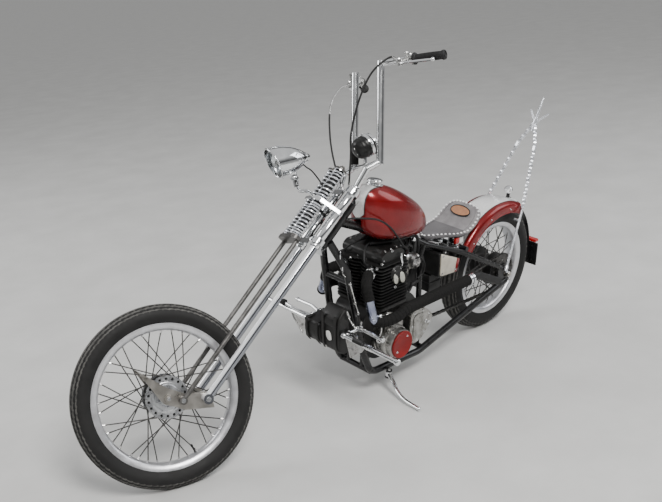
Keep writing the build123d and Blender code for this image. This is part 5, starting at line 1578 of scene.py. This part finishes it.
# Toothed bracket and small bright links between the pegs and the engine
bm = bmesh.new()
bracket = smooth_path([(1103, 112, 486), (1088, 112, 446), (1064, 112, 410), (1045, 112, 388),
                       (1028, 112, 386), (1014, 112, 408)], 5)
for i, (a, b) in enumerate(zip(bracket, bracket[1:])):
    add_tube(bm, [a, b], 4.6 if i % 2 else 3.2, 10)
for at in (3, 12, 21):
    add_bolt(bm, bracket[at] + vec(0, 3, 0), LEFT, 7, 6)
add_hose(bm, [(936, 146, 384), (926, 146, 356), (934, 146, 328), (954, 146, 314), (944, 146, 300)], 4.2, 10,
         6)
for x, z in ((938, 386), (942, 300)):
    add_bolt(bm, (x, 146, z), LEFT, 9, 8)
    add_tube(bm, [(x - 30, 118, z), (x, 146, z)], 5, 10)
on_frame("control_links", bm, polished, slot="chrome")

# Kick starter with its ribbed rubber
bm, rib = bmesh.new(), bmesh.new()
add_lathe(bm, [(0, 13), (44, 13), (46, 17), (62, 17), (64, 15), (64, 0)], (640, -108.4, 345), -LEFT, 28)
add_tube(bm, bent_path([(640, -155, 345), (600, -155, 500), (600, -214, 528)], 24, 8), 8, 18)
add_tube(bm, [(600, -196, 520), (600, -262, 548)], 7, 16)
axis = vec(0, -66, 28).normalized()
add_lathe(rib, [(0, 7), (0, 11)] + [(2 + k * 2.7, 12 - (k % 2) * 1.8) for k in range(24)]
          + [(68, 12), (72, 9), (72, 0)], (600, -196, 520), axis, 24)
on_frame("kick_lever", bm, chrome, ("kick_starter",), crease=35, slot="chrome")
on_frame("kick_rubber", rib, rubber, slot="black_rubber")

# Electrics box over a battery box, its pale side panel with a red strip, screws and cooling fins
bm = bmesh.new()
add_plate(bm, [(508, 568), (354, 500), (368, 436), (508, 446)], 14, -100, 104, 4, 3, 4)
for side in (1, -1):
    add_lathe(bm, [(0, 18), (100, 18), (103, 15), (109, 15), (109, 0)], (340, side * 48, 490), UP, 28)
on_frame("electrics_shell", bm, black_plastic, ("electrics_box",), crease=35, slot="black_plastic")
bm = bmesh.new()
add_plate(bm, [(505, 440), (424, 434), (424, 352), (505, 352)], 10, -52, 52, 4, 3, 4)
add_plate(bm, [(510, 402), (419, 402), (419, 392), (510, 392)], 3, -56, 56, 1, steps=2)
on_frame("battery_box", bm, black_plastic)
panel_edge = round_corners([(498, 564), (364, 503), (378, 444), (498, 453)], 10, 4)
bm, strip, screws = bmesh.new(), bmesh.new(), bmesh.new()
add_prism(bm, panel_edge, "xz", 104.2, 109.5, 1.6)
add_prism(strip, [(383, 512), (364, 503), (378, 444), (396, 445.5)], "xz", 109.4, 110.4, 0.3)
for x, z in ((486, 548), (486, 463), (392, 459)):
    add_lathe(screws, [(0, 6), (1.4, 5.6), (2.4, 4), (2.8, 0)], (x, 109.6, z), LEFT, 18)
on_frame("side_panel", bm, cream_panel)
on_frame("panel_strip", strip, red_paint)
for k in range(9):
    add_prism(screws, [(480 - k * 11, 447.5), (474 - k * 11, 447), (474 - k * 11, 440.5),
                       (480 - k * 11, 441)], "xz", -96, 100, 0.6)
on_frame("panel_screws", screws, polished, slot="chrome")

# Seat springs, their bolts and the small lamp block beside them
bm, lamp_red, lamp_white = bmesh.new(), bmesh.new(), bmesh.new()
for side in (1, -1):
    coil = []
    for i in range(90):
        angle = 2 * pi * i / 15
        r = 23 + 3 * cos(pi * i / 89)
        coil.append((340 + r * cos(angle), side * 48 + r * sin(angle), 540 + 56 * i / 89))
    add_tube(bm, coil, 3.4, 8)
    add_lathe(bm, [(0, 29), (3, 29), (5, 26), (5, 18.2)], (340, side * 48, 534), UP, 28)
    add_bolt(bm, (340, side * 72, 521), LEFT * side, 8, 6)
    add_tube(bm, [(488, side * 70, 594.7), (488, side * 18, 594.7)], 11.5, 18)
on_frame("seat_springs", bm, chrome, slot="chrome")
add_block(lamp_white, (318, 76, 566), (346, 90, 596), 4)
add_block(lamp_red, (346, 76, 570), (374, 90, 598), 4)
on_frame("seat_block_white", lamp_white, white_plate)
on_frame("seat_block_red", lamp_red, red_lens)

# Side stand: one bent bar with its eye, and the bolt it turns on
pivot, axle_way = vec(849, 128, 100), vec(-0.062, 0.189, 0.980).normalized()
foot = BIKE.inverted() @ vec(0.006265, 0.323059, 0.009462)
leg_way = (foot - pivot).normalized()
mid = (pivot + foot) / 2 + vec(16, 0, -30)
bm = bmesh.new()
add_lathe(bm, [(-12, 6.05), (-12, 12.2), (-11, 13), (11, 13), (12, 12.2), (12, 6.05)], pivot, axle_way, 28,
          closed=True)
add_tube(bm, bent_path([pivot + leg_way * 8, mid, foot], 150, 12), [11] + [9.4] + [8.8] * 12 + [8.2], 18)
add_ball(bm, foot, 9)
piece("stand_leg", bm, BIKE, chrome, "side_stand", ("side_stand",), crease=40, slot="chrome")
bm = bmesh.new()
for side in (1, -1):
    add_bolt(bm, pivot + axle_way * side * 19, axle_way * side, 12, 7)
on_frame("stand_pivot_bolt", bm, dull_chrome, slot="steel")

# Tank cable down the left of the tank
bm = bmesh.new()
route = [head_point(-10, 28.6, 985), (985, 60, 850), (918, 96, 836), (872, 122, 800), (820, 130, 735),
         (785, 126, 692), (724, 100, 648), (712, 74, 627)]
add_hose(bm, route, 4, 14, 10)
on_frame("tank_cable_run", bm, rubber, ("tank_cable",), crease=60, slot="black_rubber")

# Small fittings along the frame: cable loops and clips on the left downtube, and the axle plates' bolts
bm = bmesh.new()
loops = [(1052, 40, 690), (1056, 30, 672), (1062, 34, 654), (1066, 48, 646), (1068, 56, 632),
         (1060, 60, 620)]
add_hose(bm, [Vector(p) + vec(14, 10, 0) for p in loops], 3, 10)
run = [(1060, 84, 590), (1050, 90, 548), (1040, 96, 500), (1028, 98, 462), (1024, 100, 448)]
add_hose(bm, run, 4, 10, 6)
for spot in (run[0], run[2], run[4]):
    add_bolt(bm, Vector(spot) + vec(3, 3, 0), (0.7, 0.7, 0), 8, 6)
for side in (1, -1):
    add_bolt(bm, (20, side * 140, 356), LEFT * side, 9, 6)
    add_bolt(bm, (-10, side * 140, 292), LEFT * side, 9, 6)
on_frame("frame_fittings", bm, polished, slot="chrome")

# Stage, light and camera
floor_mesh = bpy.data.meshes.new("floor")
floor_mesh.from_pydata([(-300, -300, 0), (300, -300, 0), (300, 300, 0), (-300, 300, 0)], [], [(0, 1, 2, 3)])
floor = new_object("floor", floor_mesh)
floor_mesh.materials.append(surface("floor_pale", (0.6, 0.6, 0.59), (0.54, 0.54, 0.53), (0.7, 0.85), 3))


def area_light(name, place, target, power, size, colour=(1, 1, 1)):
    lamp = bpy.data.lights.new(name, "AREA")
    lamp.energy = power
    lamp.size = size
    lamp.color = colour
    holder = new_object(name, lamp)
    holder.location = place
    holder.rotation_euler = (Vector(target) - Vector(place)).to_track_quat("-Z", "Y").to_euler()


area_light("key", (2.0, 5.0, 6.5), (0, 0, 0.5), 680, 2.6, (1, 0.985, 0.96))
area_light("fill", (-5.0, 3.5, 4.5), (0, 0, 0.5), 170, 4.0, (0.95, 0.97, 1))
area_light("rim", (3.5, -5.5, 4.0), (0, 0, 0.6), 200, 3.0)

world = bpy.data.worlds.new("studio")
bpy.context.scene.world = world
world.use_nodes = True
sky = world.node_tree
height = output_of(sky, "SeparateXYZ", "Z", {"Vector": output_of(sky, "TexCoord", "Generated", {})})
levels = [(0.0, grey(0.44)), (0.11, grey(0.44)), (0.17, grey(0.05)), (0.36, grey(0.28)), (0.62, grey(1.0))]
set_inputs(sky, sky.nodes["Background"], {"Color": ramp(sky, height, levels), "Strength": 0.65})

yaw, pitch, roll = radians(-132.81), radians(17.73), radians(-4.73)
ahead = vec(cos(yaw) * cos(pitch), sin(yaw) * cos(pitch), -sin(pitch))
level = ahead.cross(UP).normalized()
upward = level.cross(ahead)
across = level * cos(roll) + upward * sin(roll)
above = upward * cos(roll) - level * sin(roll)
camera = new_object("camera", bpy.data.cameras.new("camera"))
camera.data.sensor_width = 36
camera.data.lens = 49.74
turned = Matrix((across, above, -ahead)).transposed().to_4x4()
camera.matrix_world = Matrix.Translation((2.590965, 2.650959, 1.8463)) @ turned
bpy.context.scene.camera = camera
